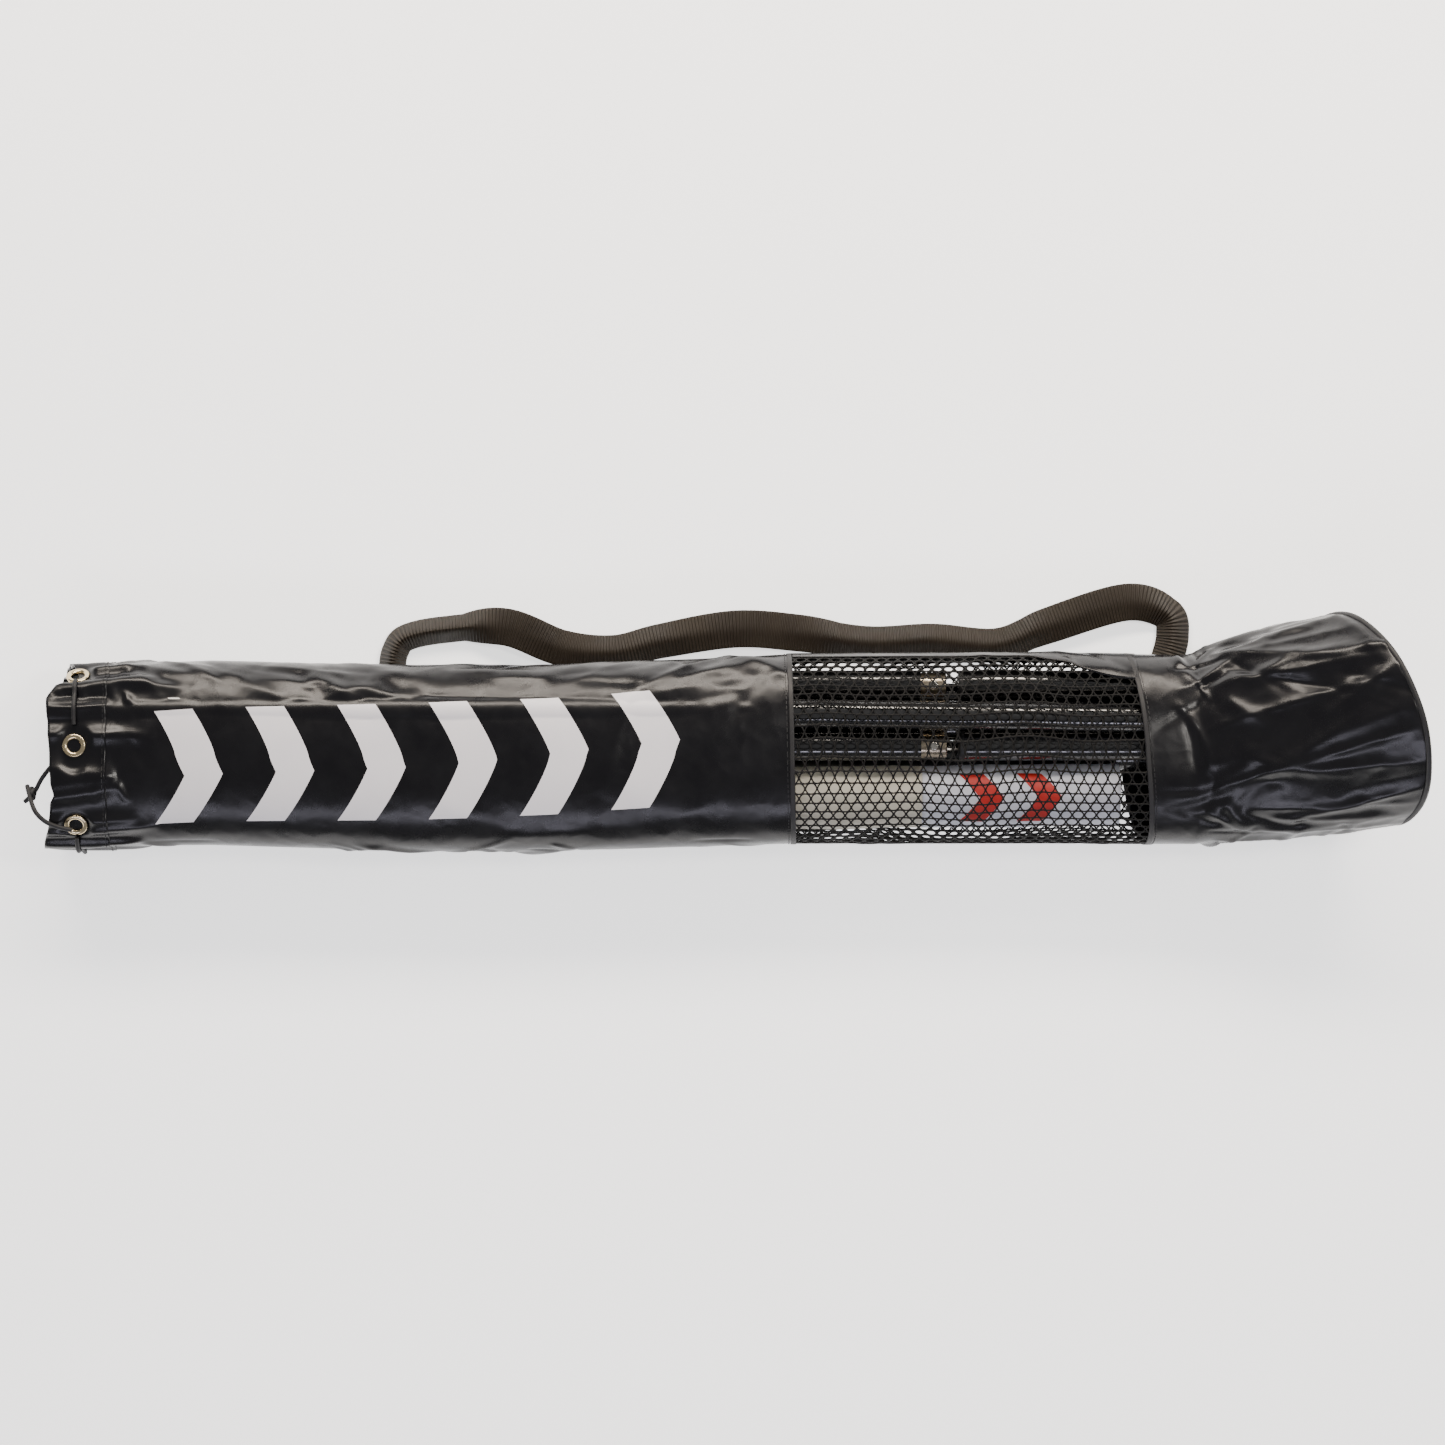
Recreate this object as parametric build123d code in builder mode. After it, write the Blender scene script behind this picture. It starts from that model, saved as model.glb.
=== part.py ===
"""Packed lawn net set: a long drawstring carry bag that holds a portable net kit.

The bag lies on the ground along X, with its mouth at -X and its round base at +X.
+Z is up. All sizes are in millimetres.
"""
from build123d import *
from math import cos, degrees, pi, radians, sin, sqrt
import os

# ---------------------------------------------------------------- driving dimensions
# Bag: stations along X
MOUTH_X = -450.0            # open edge of the mouth
HEM_DEPTH = 37.0            # folded casing at the mouth
SHOULDER_X = -380.0         # the sleeve reaches its full section here
WINDOW_START_X = 40.0       # middle of the front window seam
WINDOW_END_X = 264.0        # middle of the rear window seam
FLARE_X = 305.0             # the rear sleeve starts to widen here
BINDING_WIDTH = 8.0         # seam tape

# Bag: cross-sections, as rounded rectangles that rest on their flat side
BAG_Y = -24.0
BAG_WIDTH = 123.0
BAG_HEIGHT = 78.0
BAG_CORNER = 38.0
MOUTH_WIDTH = 122.0
MOUTH_HEIGHT = 74.0
MOUTH_CORNER = 36.0
MOUTH_LIFT = 4.0            # the gathered mouth stands this far off the ground
FABRIC = 1.0                # coated nylon with its lining
HEM_WALL = 2.0              # two layers
BINDING_WALL = 2.0

# Bag: round base panel
BASE_DIAMETER = 145.0
BASE_X = 412.3
BASE_Y = -2.0
BASE_YAW = 18.0             # degrees, turned towards +Y
BASE_LEAN = 22.0            # degrees, its top leans outwards
PIPING_DEPTH = 4.0
PIPING_WALL = 3.0
PANEL_THICKNESS = 1.6

# Grommets and drawstring
GROMMET_COUNT = 6
GROMMET_START_Y = 5.5       # first grommet, from the mouth's centre line
GROMMET_INSET = 22.0        # from the mouth edge to a grommet's centre
FLANGE_DIAMETER = 15.5
FLANGE_THICKNESS = 0.8
BARREL_DIAMETER = 10.0
GROMMET_BORE = 8.4
WASHER_DIAMETER = 14.0
CORD_DIAMETER = 3.0
CORD_CLEARANCE = 0.3
KNOT_DIAMETER = 10.0
STRETCH_STEPS = 5           # straight pieces in one stretch between two grommets

# Webbing strap
WEBBING_WIDTH = 25.0
WEBBING_THICKNESS = 1.6
STRAP_Z = 12.0
PATCH_WIDTH = 27.0
PATCH_THICKNESS = 1.4
PATCH_LOW = 5.0
PATCH_HIGH = 26.0
SPINE_THICKNESS = 0.8
SPINE_LOW = 22.0
SPINE_HIGH = 60.0

# Net frame tubes
TUBE_DIAMETER = 19.0
TUBE_WALL = 1.2
FERRULE_WALL = 1.0
FERRULE_EXPOSED = 17.0
FERRULE_INSERTED = 25.0
FERRULE_CLEARANCE = 0.3     # stock 16 mm tube sliding in the next tube's 16.6 mm bore
LONG_BAR_LENGTH = 743.0     # without its ferrule
POST_LENGTH = 508.0         # without its ferrule
FOOT_LENGTH = 205.0         # without its ferrule
TUBE_START_X = -383.0       # mouth end of the long bars and posts
INLINE_GAP = 8.0            # between a post and the foot tube behind it
PLUG_FLANGE = 3.0
PLUG_DEPTH = 12.0
BUTTON_DIAMETER = 6.0
BUTTON_CLEARANCE = 0.3
BUTTON_LENGTH = 4.9
BUTTON_COLLAR = 1.0         # the collar inside the ferrule stops the button

# Rolled net
ROLL_DIAMETER = 43.0        # over the headband
ROLL_START_X = -160.0
ROLL_LENGTH = 416.0
HEADBAND_LENGTH = 130.0     # white band around the rear end of the roll
SIDE_BAND_LENGTH = 170.0    # cream band next to it
BAND_THICKNESS = 1.0
TIE_WIDTH = 20.0
TIE_SPACING = 50.0

SEAM = BINDING_WIDTH / 2


# ---------------------------------------------------------------- shared helpers
def cross_plane(x, middle_z):
    """Plane across the bag: its local x runs along +Y and its local y along +Z."""
    return Plane(origin=(x, BAG_Y, middle_z), x_dir=(0, 1, 0), z_dir=(1, 0, 0))


def save(piece, label):
    """Label a finished piece and write it as one STEP file."""
    piece.part.label = label
    export_step(piece.part, f"parts/{label}.step")


def fabric_sleeve(stations, wall):
    """Loft a hollow sleeve through (plane, width, height, corner) stations."""
    with BuildPart() as sleeve:
        for plane, width, height, corner in stations:
            with BuildSketch(plane):
                RectangleRounded(width, height, corner)
        loft(ruled=True)
        for plane, width, height, corner in stations:
            with BuildSketch(plane):
                RectangleRounded(width - 2 * wall, height - 2 * wall, corner - wall)
        loft(ruled=True, mode=Mode.SUBTRACT)
    return sleeve


def body_station(x):
    """The bag's full cross-section at x."""
    return (cross_plane(x, BAG_HEIGHT / 2), BAG_WIDTH, BAG_HEIGHT, BAG_CORNER)


def mouth_station(x):
    """The gathered mouth's cross-section at x."""
    return (cross_plane(x, MOUTH_LIFT + MOUTH_HEIGHT / 2), MOUTH_WIDTH, MOUTH_HEIGHT, MOUTH_CORNER)


def wrap_plate(x_start, x_end, z_low, z_high, outer_offset, thickness):
    """A plate that follows the bag's +Y side between two heights."""
    with BuildPart() as plate:
        with BuildSketch(cross_plane(x_start, BAG_HEIGHT / 2)):
            RectangleRounded(BAG_WIDTH + 2 * outer_offset, BAG_HEIGHT + 2 * outer_offset,
                             BAG_CORNER + outer_offset)
            inner = outer_offset - thickness
            RectangleRounded(BAG_WIDTH + 2 * inner, BAG_HEIGHT + 2 * inner,
                             BAG_CORNER + inner, mode=Mode.SUBTRACT)
            with Locations((BAG_WIDTH / 2, (z_low + z_high) / 2 - BAG_HEIGHT / 2)):
                Rectangle(BAG_WIDTH / 2, z_high - z_low, mode=Mode.INTERSECT)
        extrude(amount=x_end - x_start)
    return plate


os.makedirs("parts", exist_ok=True)

# ---------------------------------------------------------------- bag
hem_end_x = MOUTH_X + HEM_DEPTH
mouth_hem = fabric_sleeve([mouth_station(MOUTH_X), mouth_station(hem_end_x)], HEM_WALL)

front_sleeve = fabric_sleeve(
    [mouth_station(hem_end_x), body_station(SHOULDER_X), body_station(WINDOW_START_X - SEAM)], FABRIC)
save(front_sleeve, "front_sleeve")

window_seam_front = fabric_sleeve(
    [body_station(WINDOW_START_X - SEAM), body_station(WINDOW_START_X + SEAM)], BINDING_WALL)
save(window_seam_front, "window_seam_front")

mesh_window = fabric_sleeve(
    [body_station(WINDOW_START_X + SEAM), body_station(WINDOW_END_X - SEAM)], FABRIC)
save(mesh_window, "mesh_window")

window_seam_rear = fabric_sleeve(
    [body_station(WINDOW_END_X - SEAM), body_station(WINDOW_END_X + SEAM)], BINDING_WALL)
save(window_seam_rear, "window_seam_rear")

# The base plane is turned towards +Y and its top leans outwards, with its rim on the ground.
base_z = BASE_DIAMETER / 2 * cos(radians(BASE_LEAN)) + PIPING_DEPTH * sin(radians(BASE_LEAN))
base_normal = Vector(cos(radians(BASE_YAW)) * cos(radians(BASE_LEAN)),
                     sin(radians(BASE_YAW)) * cos(radians(BASE_LEAN)),
                     -sin(radians(BASE_LEAN)))
base_across = Vector(-sin(radians(BASE_YAW)), cos(radians(BASE_YAW)), 0)
base_plane = Plane(origin=(BASE_X, BASE_Y, base_z), x_dir=base_across, z_dir=base_normal)
rear_round = BASE_DIAMETER - 2 * FABRIC
base_station = (base_plane, rear_round, rear_round, rear_round / 2 - 0.5)
rear_sleeve = fabric_sleeve(
    [body_station(WINDOW_END_X + SEAM), body_station(FLARE_X), base_station], FABRIC)
save(rear_sleeve, "rear_sleeve")

with BuildPart() as base_piping:
    with BuildSketch(base_plane):
        Circle(BASE_DIAMETER / 2)
        Circle(BASE_DIAMETER / 2 - PIPING_WALL, mode=Mode.SUBTRACT)
    extrude(amount=PIPING_DEPTH)
save(base_piping, "base_piping")

with BuildPart() as base_panel:
    with BuildSketch(base_plane.offset(PIPING_DEPTH - PANEL_THICKNESS)):
        Circle(BASE_DIAMETER / 2 - PIPING_WALL)
    extrude(amount=PANEL_THICKNESS)
save(base_panel, "base_panel")

spine_strip = wrap_plate(WINDOW_START_X + SEAM, WINDOW_END_X - SEAM, SPINE_LOW, SPINE_HIGH,
                         -FABRIC, SPINE_THICKNESS)
save(spine_strip, "spine_strip")


# ---------------------------------------------------------------- grommets around the mouth
def around_mouth(distance, outward):
    """Point and outward direction on the mouth's section, a distance along it from the top.

    The distance runs from the first grommet towards -Y, and outward moves the point off
    the outer surface.
    """
    half_flat = MOUTH_WIDTH / 2 - MOUTH_CORNER
    side_flat = MOUTH_HEIGHT - 2 * MOUTH_CORNER
    quarter = pi * MOUTH_CORNER / 2
    middle_z = MOUTH_LIFT + MOUTH_HEIGHT / 2
    lengths = [half_flat * 2, quarter, side_flat, quarter, half_flat * 2, quarter, side_flat, quarter]
    left = (distance + half_flat - GROMMET_START_Y) % sum(lengths)
    heading = 90.0
    y, z = half_flat, MOUTH_HEIGHT / 2
    for index, length in enumerate(lengths):
        straight = index % 2 == 0
        step = min(left, length)
        if straight:
            y -= step * sin(radians(heading))
            z += step * cos(radians(heading))
        else:
            turn = degrees(step / MOUTH_CORNER)
            centre_y = y - MOUTH_CORNER * cos(radians(heading))
            centre_z = z - MOUTH_CORNER * sin(radians(heading))
            heading += turn
            y = centre_y + MOUTH_CORNER * cos(radians(heading))
            z = centre_z + MOUTH_CORNER * sin(radians(heading))
        left -= step
        if left <= 1e-9:
            break
    direction = Vector(0, cos(radians(heading)), sin(radians(heading)))
    point = Vector(0, BAG_Y + y, middle_z + z) + direction * outward
    return point, direction


mouth_perimeter = (2 * (MOUTH_WIDTH + MOUTH_HEIGHT) - 8 * MOUTH_CORNER + 2 * pi * MOUTH_CORNER)
grommet_spacing = mouth_perimeter / GROMMET_COUNT
grommet_x = MOUTH_X + GROMMET_INSET
# A flat washer stands off the curved inside of the hem by this much at its middle.
washer_standoff = MOUTH_CORNER - HEM_WALL - sqrt((MOUTH_CORNER - HEM_WALL) ** 2 - (WASHER_DIAMETER / 2) ** 2)


def grommet_plane(index, outward):
    """Plane across grommet number index, facing out of the bag."""
    point, direction = around_mouth(index * grommet_spacing, outward)
    return Plane(origin=(grommet_x, point.Y, point.Z), x_dir=(1, 0, 0), z_dir=direction)


with BuildPart(mode=Mode.PRIVATE) as barrel_holes:
    for index in range(GROMMET_COUNT):
        with BuildSketch(grommet_plane(index, -HEM_WALL - 2)):
            Circle(BARREL_DIAMETER / 2)
        extrude(amount=HEM_WALL + 4)

with BuildPart() as holed_hem:
    add(mouth_hem.part)
    add(barrel_holes.part, mode=Mode.SUBTRACT)
save(holed_hem, "mouth_hem")

barrel_depth = HEM_WALL + washer_standoff
with BuildPart() as grommet_flanges:
    for index in range(GROMMET_COUNT):
        with BuildSketch(grommet_plane(index, 0)):
            Circle(FLANGE_DIAMETER / 2)
            Circle(GROMMET_BORE / 2, mode=Mode.SUBTRACT)
        extrude(amount=FLANGE_THICKNESS)
        with BuildSketch(grommet_plane(index, 0)):
            Circle(BARREL_DIAMETER / 2)
            Circle(GROMMET_BORE / 2, mode=Mode.SUBTRACT)
        extrude(amount=-barrel_depth)
save(grommet_flanges, "grommet_flanges")

with BuildPart() as grommet_washers:
    for index in range(GROMMET_COUNT):
        with BuildSketch(grommet_plane(index, -barrel_depth)):
            Circle(WASHER_DIAMETER / 2)
            Circle(GROMMET_BORE / 2, mode=Mode.SUBTRACT)
        extrude(amount=-FLANGE_THICKNESS)
save(grommet_washers, "grommet_washers")

# ---------------------------------------------------------------- drawstring
# The cord passes in and out through the grommets. Each stretch lies along the hem between
# two grommets: odd ones outside it, even ones inside it.
outside_offset = CORD_DIAMETER / 2 + CORD_CLEARANCE
inside_offset = -HEM_WALL - CORD_DIAMETER / 2 - CORD_CLEARANCE
with BuildPart() as drawstring:
    for index in range(1, GROMMET_COUNT):
        offset_out = outside_offset if index % 2 == 1 else inside_offset
        start = index * grommet_spacing + FLANGE_DIAMETER / 2 + CORD_DIAMETER
        end = (index + 1) * grommet_spacing - FLANGE_DIAMETER / 2 - CORD_DIAMETER
        steps = STRETCH_STEPS
        points = []
        for step in range(steps + 1):
            point, _ = around_mouth(start + (end - start) * step / steps, offset_out)
            points.append((grommet_x, point.Y, point.Z))
        for near, far in zip(points, points[1:]):
            run = Vector(*far) - Vector(*near)
            with BuildSketch(Plane(origin=near, z_dir=run)):
                Circle(CORD_DIAMETER / 2)
            extrude(amount=run.length)
            with Locations(far):
                Sphere(CORD_DIAMETER / 2)
save(drawstring, "drawstring")

# The two ends come out at the front pair of grommets and share one overhand knot.
# Each route is a short list of corners, rounded by arcs.
knot_centre = (-457.0, -50.0, 66.2)
tail_routes = {
    "drawstring_tail_upper": [
        (-428.0, -18.5, 72.2), (-440.0, -28.0, 72.0), (-450.5, -40.0, 70.5),
        (-455.5, -50.0, 65.0), (-462.5, -55.5, 62.0)],
    "drawstring_tail_lower": [
        (-430.0, -73.9, 73.0), (-443.0, -71.5, 74.0), (-453.0, -63.5, 77.5),
        (-457.5, -53.5, 72.0), (-460.5, -45.0, 65.0)],
}


def corner_radii(route):
    """The largest arc at each corner: 0.45 of the shorter run over the tangent of half the turn."""
    radii = []
    for before, corner, after in zip(route, route[1:], route[2:]):
        run_in = Vector(*corner) - Vector(*before)
        run_out = Vector(*after) - Vector(*corner)
        half_turn = radians(run_in.get_angle(run_out)) / 2
        shorter = min(run_in.length, run_out.length)
        radii.append(0.45 * shorter * cos(half_turn) / sin(half_turn))
    return radii


for label, route in tail_routes.items():
    radii = corner_radii(route)
    with BuildPart() as tail:
        with BuildLine() as path:
            FilletPolyline(*route, radius=radii)
        with BuildSketch(Plane(origin=route[0], z_dir=path.line % 0)):
            Circle(CORD_DIAMETER / 2)
        sweep(path=path.line)
    save(tail, label)
    section = pi * (CORD_DIAMETER / 2) ** 2
    length = sum(edge.length for edge in path.line.edges())
    print(label, "length", round(length, 1), "volume over section",
          round(tail.part.volume / section, 1), "radii", [round(radius, 1) for radius in radii])

with BuildPart() as drawstring_knot:
    with Locations(knot_centre):
        Sphere(KNOT_DIAMETER / 2)
save(drawstring_knot, "drawstring_knot")

# ---------------------------------------------------------------- webbing strap
# Centre line of the strap where it lies beside the bag, from its left sewn end to its right,
# as x and the distance out from the bag's +Y side. It leaves the bag outwards, waves along it
# with three humps and comes back.
bag_side_y = BAG_Y + BAG_WIDTH / 2
strap_offsets = [
    (-226.0, -6.0), (-223.0, 20.5), (-150.0, 22.5), (-95.0, 6.0), (-60.0, 7.0), (0.0, 21.5),
    (92.0, 12.5), (170.0, 8.5), (225.0, 28.5), (284.0, 40.9), (290.0, -6.0)]
strap_route = [(x, bag_side_y + out) for x, out in strap_offsets]
strap_radii = [14.0, 60.0, 40.0, 40.0, 90.0, 120.0, 60.0, 60.0, 15.0]
with BuildPart() as carry_strap:
    with BuildSketch(Plane.XY.offset(STRAP_Z)):
        with BuildLine():
            FilletPolyline(*strap_route, radius=strap_radii)
        trace(line_width=WEBBING_WIDTH)
        # The ends are cut square where they are sewn on.
        for x, _ in (strap_route[0], strap_route[-1]):
            with Locations((x, strap_route[0][1])):
                Rectangle(2 * WEBBING_WIDTH, WEBBING_WIDTH, align=(Align.CENTER, Align.MAX),
                          mode=Mode.SUBTRACT)
    extrude(amount=WEBBING_THICKNESS)
save(carry_strap, "carry_strap")

for label, (x, _) in (("strap_patch_left", strap_route[0]), ("strap_patch_right", strap_route[-1])):
    patch = wrap_plate(x - PATCH_WIDTH / 2, x + PATCH_WIDTH / 2, PATCH_LOW, PATCH_HIGH,
                       PATCH_THICKNESS, PATCH_THICKNESS)
    save(patch, label)

# ---------------------------------------------------------------- net frame tubes
bore_radius = TUBE_DIAMETER / 2 - TUBE_WALL
ferrule_radius = bore_radius - FERRULE_CLEARANCE


def lane_x(x, y, z, slope=0.0, start_x=TUBE_START_X):
    """Plane across a tube at x, on a lane that may drift by slope in y per mm of x."""
    direction = Vector(1, slope, 0)
    return Plane(origin=(x, BAG_Y + y + slope * (x - start_x), z), x_dir=(-slope, 1, 0), z_dir=direction)


def frame_tube(label, lane, start_x, length, slope=0.0):
    """A tube with an open mouth end, crimped at its rear end onto a closed ferrule."""
    stretch = sqrt(1 + slope * slope)
    with BuildPart() as tube:
        with BuildSketch(lane_x(start_x, *lane, slope)):
            Circle(TUBE_DIAMETER / 2)
            Circle(bore_radius, mode=Mode.SUBTRACT)
        extrude(amount=length)
        with BuildSketch(lane_x(start_x + (length - FERRULE_INSERTED) / stretch, *lane, slope)):
            Circle(TUBE_DIAMETER / 2)
            Circle(ferrule_radius, mode=Mode.SUBTRACT)
        extrude(amount=FERRULE_INSERTED)
    save(tube, label)
    end_x = start_x + length / stretch
    with BuildPart() as ferrule:
        with BuildSketch(lane_x(end_x, *lane, slope)):
            Circle(ferrule_radius)
        extrude(amount=FERRULE_EXPOSED)
        tip = ferrule.faces().sort_by(Axis.X)[-1]
        fillet(tip.edges(), FERRULE_WALL)
        with BuildSketch(lane_x(end_x, *lane, slope)):
            Circle(ferrule_radius)
        extrude(amount=-FERRULE_INSERTED)
        with BuildSketch(lane_x(end_x - FERRULE_INSERTED / stretch, *lane, slope)):
            Circle(ferrule_radius - FERRULE_WALL)
        extrude(amount=FERRULE_INSERTED + FERRULE_EXPOSED - FERRULE_WALL, mode=Mode.SUBTRACT)
        if label.startswith("post"):
            with BuildSketch(Plane.XY.offset(lane[1])):
                with Locations((end_x + FERRULE_EXPOSED / 2, BAG_Y + lane[0])):
                    Circle(BUTTON_DIAMETER / 2 + BUTTON_CLEARANCE)
            extrude(amount=TUBE_DIAMETER, mode=Mode.SUBTRACT)
    save(ferrule, f"{label}_ferrule")
    return end_x


def snap_button(label, lane, x):
    """Spring button in a post's ferrule: it stands out as far as the tube's own wall."""
    top = lane[1] + TUBE_DIAMETER / 2
    with BuildPart() as button:
        with BuildSketch(Plane(origin=(x, BAG_Y + lane[0], top - BUTTON_LENGTH))):
            Circle(BUTTON_DIAMETER / 2)
        extrude(amount=BUTTON_LENGTH)
        fillet(button.faces().sort_by(Axis.Z)[-1].edges(), BUTTON_DIAMETER / 6)
        with BuildSketch(Plane(origin=(x, BAG_Y + lane[0], top - BUTTON_LENGTH))):
            Circle(BUTTON_DIAMETER / 2 + 2 * BUTTON_CLEARANCE)
        extrude(amount=BUTTON_COLLAR)
    save(button, label)


# Lanes are the tubes' axes: y from the bag's centre line, z from the ground.
top_bar_lane = (32.0, 64.0)
top_bar_slope = -10.0 / (LONG_BAR_LENGTH + FERRULE_EXPOSED)
bottom_bar_lanes = [(-1.5, 17.5), (18.0, 17.5), (37.0, 25.0)]
inline_lanes = [(45.2, 45.0), (5.0, 54.0), (8.0, 34.5), (26.0, 42.0)]

frame_tube("base_bar_1", top_bar_lane, TUBE_START_X, LONG_BAR_LENGTH, top_bar_slope)
for number, lane in enumerate(bottom_bar_lanes, start=2):
    frame_tube(f"base_bar_{number}", lane, TUBE_START_X, LONG_BAR_LENGTH)

for number, lane in enumerate(inline_lanes, start=1):
    post_end = frame_tube(f"post_{number}", lane, TUBE_START_X, POST_LENGTH)
    snap_button(f"post_{number}_button", lane, post_end + FERRULE_EXPOSED / 2)
    foot_start = post_end + FERRULE_EXPOSED + INLINE_GAP
    with BuildPart() as foot_plug:
        with BuildSketch(lane_x(foot_start, *lane)):
            Circle(TUBE_DIAMETER / 2)
        extrude(amount=PLUG_FLANGE)
        fillet(foot_plug.faces().sort_by(Axis.X)[0].edges(), PLUG_FLANGE / 3)
        with BuildSketch(lane_x(foot_start + PLUG_FLANGE, *lane)):
            Circle(bore_radius)
        extrude(amount=PLUG_DEPTH)
    save(foot_plug, f"foot_tube_{number}_plug")
    frame_tube(f"foot_tube_{number}", lane, foot_start + PLUG_FLANGE, FOOT_LENGTH)

# ---------------------------------------------------------------- rolled net
# The roll lies beside the tubes, its rear end a little closer to the bag's centre line.
roll_z = 36.0
roll_start_y = -32.5
roll_slope = 5.5 / ROLL_LENGTH


def roll_ring(label, from_x, length):
    """A band wrapped once around the roll."""
    with BuildPart() as ring:
        with BuildSketch(lane_x(from_x, roll_start_y, roll_z, roll_slope, ROLL_START_X)):
            Circle(ROLL_DIAMETER / 2)
            Circle(ROLL_DIAMETER / 2 - BAND_THICKNESS, mode=Mode.SUBTRACT)
        extrude(amount=length)
    save(ring, label)


roll_end_x = ROLL_START_X + ROLL_LENGTH
with BuildPart() as net_roll:
    with BuildSketch(lane_x(ROLL_START_X, roll_start_y, roll_z, roll_slope, ROLL_START_X)):
        Circle(ROLL_DIAMETER / 2 - BAND_THICKNESS)
    extrude(amount=ROLL_LENGTH)
save(net_roll, "net_roll")
roll_ring("headband_wrap", roll_end_x - HEADBAND_LENGTH, HEADBAND_LENGTH)
roll_ring("side_band_wrap", roll_end_x - HEADBAND_LENGTH - SIDE_BAND_LENGTH, SIDE_BAND_LENGTH)
for number in (1, 2):
    roll_ring(f"roll_tie_{number}", ROLL_START_X + number * TIE_SPACING - TIE_SPACING / 2, TIE_WIDTH)
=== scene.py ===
"""Looks of a packed lawn net set: a drawstring carry bag that lies on the ground with its kit inside.

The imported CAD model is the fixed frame. Steel tubes, ferrules, plugs and snap buttons keep their CAD
shape and get a finish here; the bag, its strap, its cords and the rolled net are made here.
Lengths inside the classes are millimetres, and meshes are written in metres.
"""
import logging
import math
from dataclasses import dataclass, field
from enum import Enum
from typing import Callable, Optional, Sequence

import bmesh
import bpy
import numpy as np
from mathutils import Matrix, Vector


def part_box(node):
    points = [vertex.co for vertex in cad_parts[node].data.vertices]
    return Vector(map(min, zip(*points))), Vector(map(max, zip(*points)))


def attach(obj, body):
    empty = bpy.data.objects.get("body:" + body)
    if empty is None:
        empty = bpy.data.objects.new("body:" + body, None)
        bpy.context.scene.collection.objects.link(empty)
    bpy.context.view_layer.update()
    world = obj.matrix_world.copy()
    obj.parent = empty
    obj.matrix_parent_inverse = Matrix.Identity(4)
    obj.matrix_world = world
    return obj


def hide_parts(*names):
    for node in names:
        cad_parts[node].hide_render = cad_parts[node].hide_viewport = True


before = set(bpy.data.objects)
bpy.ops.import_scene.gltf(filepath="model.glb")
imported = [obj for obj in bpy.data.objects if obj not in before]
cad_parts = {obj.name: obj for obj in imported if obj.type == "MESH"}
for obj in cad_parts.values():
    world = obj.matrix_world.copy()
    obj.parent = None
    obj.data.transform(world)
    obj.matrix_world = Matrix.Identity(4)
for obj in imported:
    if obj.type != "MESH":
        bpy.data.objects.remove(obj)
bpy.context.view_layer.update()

LOG = logging.getLogger("net_set")
MM = 0.001
SEED = 514
TAU = 2 * math.pi
BAG = "bag"
# Nominal length of the cloth round the bag. Shares of the girth are turned to millimetres with it.
GIRTH = 330.0
# A grommet's flange holds the cloth flat to its rim, and the folds come back over the next stretch.
FLANGE_REACH, FLANGE_EASE = 7.5, 6.0
INK_PROUD = 0.45
Array = np.ndarray
Edge = Callable[[Array], Array]


# ------------------------------------------------------------------ small tools
def node_box(node: str) -> tuple[Array, Array]:
    """Lowest and highest corner of a CAD node at rest, in millimetres."""
    low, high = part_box(node)
    return np.array(low) / MM, np.array(high) / MM


def smooth(t: Array) -> Array:
    """Ease from 0 to 1, flat at both ends."""
    t = np.clip(t, 0.0, 1.0)
    return t * t * (3 - 2 * t)


def grid_faces(rows: int, columns: int, closed: bool = False) -> list[tuple[int, ...]]:
    """Quads of a grid of rows by columns points.

    Args:
        rows: Points along the first direction.
        columns: Points along the second direction.
        closed: Whether the second direction closes on itself.

    Returns:
        One tuple of four point numbers for each face.
    """
    faces = []
    last = columns if closed else columns - 1
    for row in range(rows - 1):
        for column in range(last):
            after = (column + 1) % columns
            faces.append((row * columns + column, row * columns + after,
                          (row + 1) * columns + after, (row + 1) * columns + column))
    return faces


def ring_faces(rows: int, columns: int) -> list[tuple[int, ...]]:
    """Quads of a grid that closes on itself in both directions."""
    last = (rows - 1) * columns
    return grid_faces(rows, columns, closed=True) + [
        (last + i, last + (i + 1) % columns, (i + 1) % columns, i) for i in range(columns)]


def make_piece(name: str, points: Array, faces: Sequence[Sequence[int]], finish: "Finish",
               body: str = BAG, replaces: Sequence[str] = (), uv: Optional[Array] = None,
               is_smooth: bool = True) -> bpy.types.Object:
    """Make one mesh piece, dress it and tie it to the frame.

    Args:
        name: The piece's name.
        points: Its points in millimetres, one row each.
        faces: Point numbers of each face.
        finish: What it is made of.
        body: The CAD body that it moves with.
        replaces: CAD nodes that it stands for.
        uv: Two numbers for each point, in millimetres on the cloth.
        is_smooth: Whether its faces are shaded smooth.

    Returns:
        The new object.
    """
    mesh = bpy.data.meshes.new(name)
    corners = [tuple(point) for point in np.asarray(points, float) * MM]
    mesh.from_pydata(corners, [], [tuple(face) for face in faces])
    mesh.validate()
    if uv is not None:
        layer = mesh.uv_layers.new(name="cloth")
        index = np.zeros(len(mesh.loops), dtype=np.int64)
        mesh.loops.foreach_get("vertex_index", index)
        layer.data.foreach_set("uv", np.asarray(uv, float)[index].ravel())
    if is_smooth:
        mesh.polygons.foreach_set("use_smooth", [True] * len(mesh.polygons))
    piece = bpy.data.objects.new(name, mesh)
    bpy.context.scene.collection.objects.link(piece)
    piece.data.materials.append(finish.material())
    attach(piece, body)
    if replaces:
        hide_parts(*replaces)
    LOG.info("piece %s: %d faces", name, len(mesh.polygons))
    return piece


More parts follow.
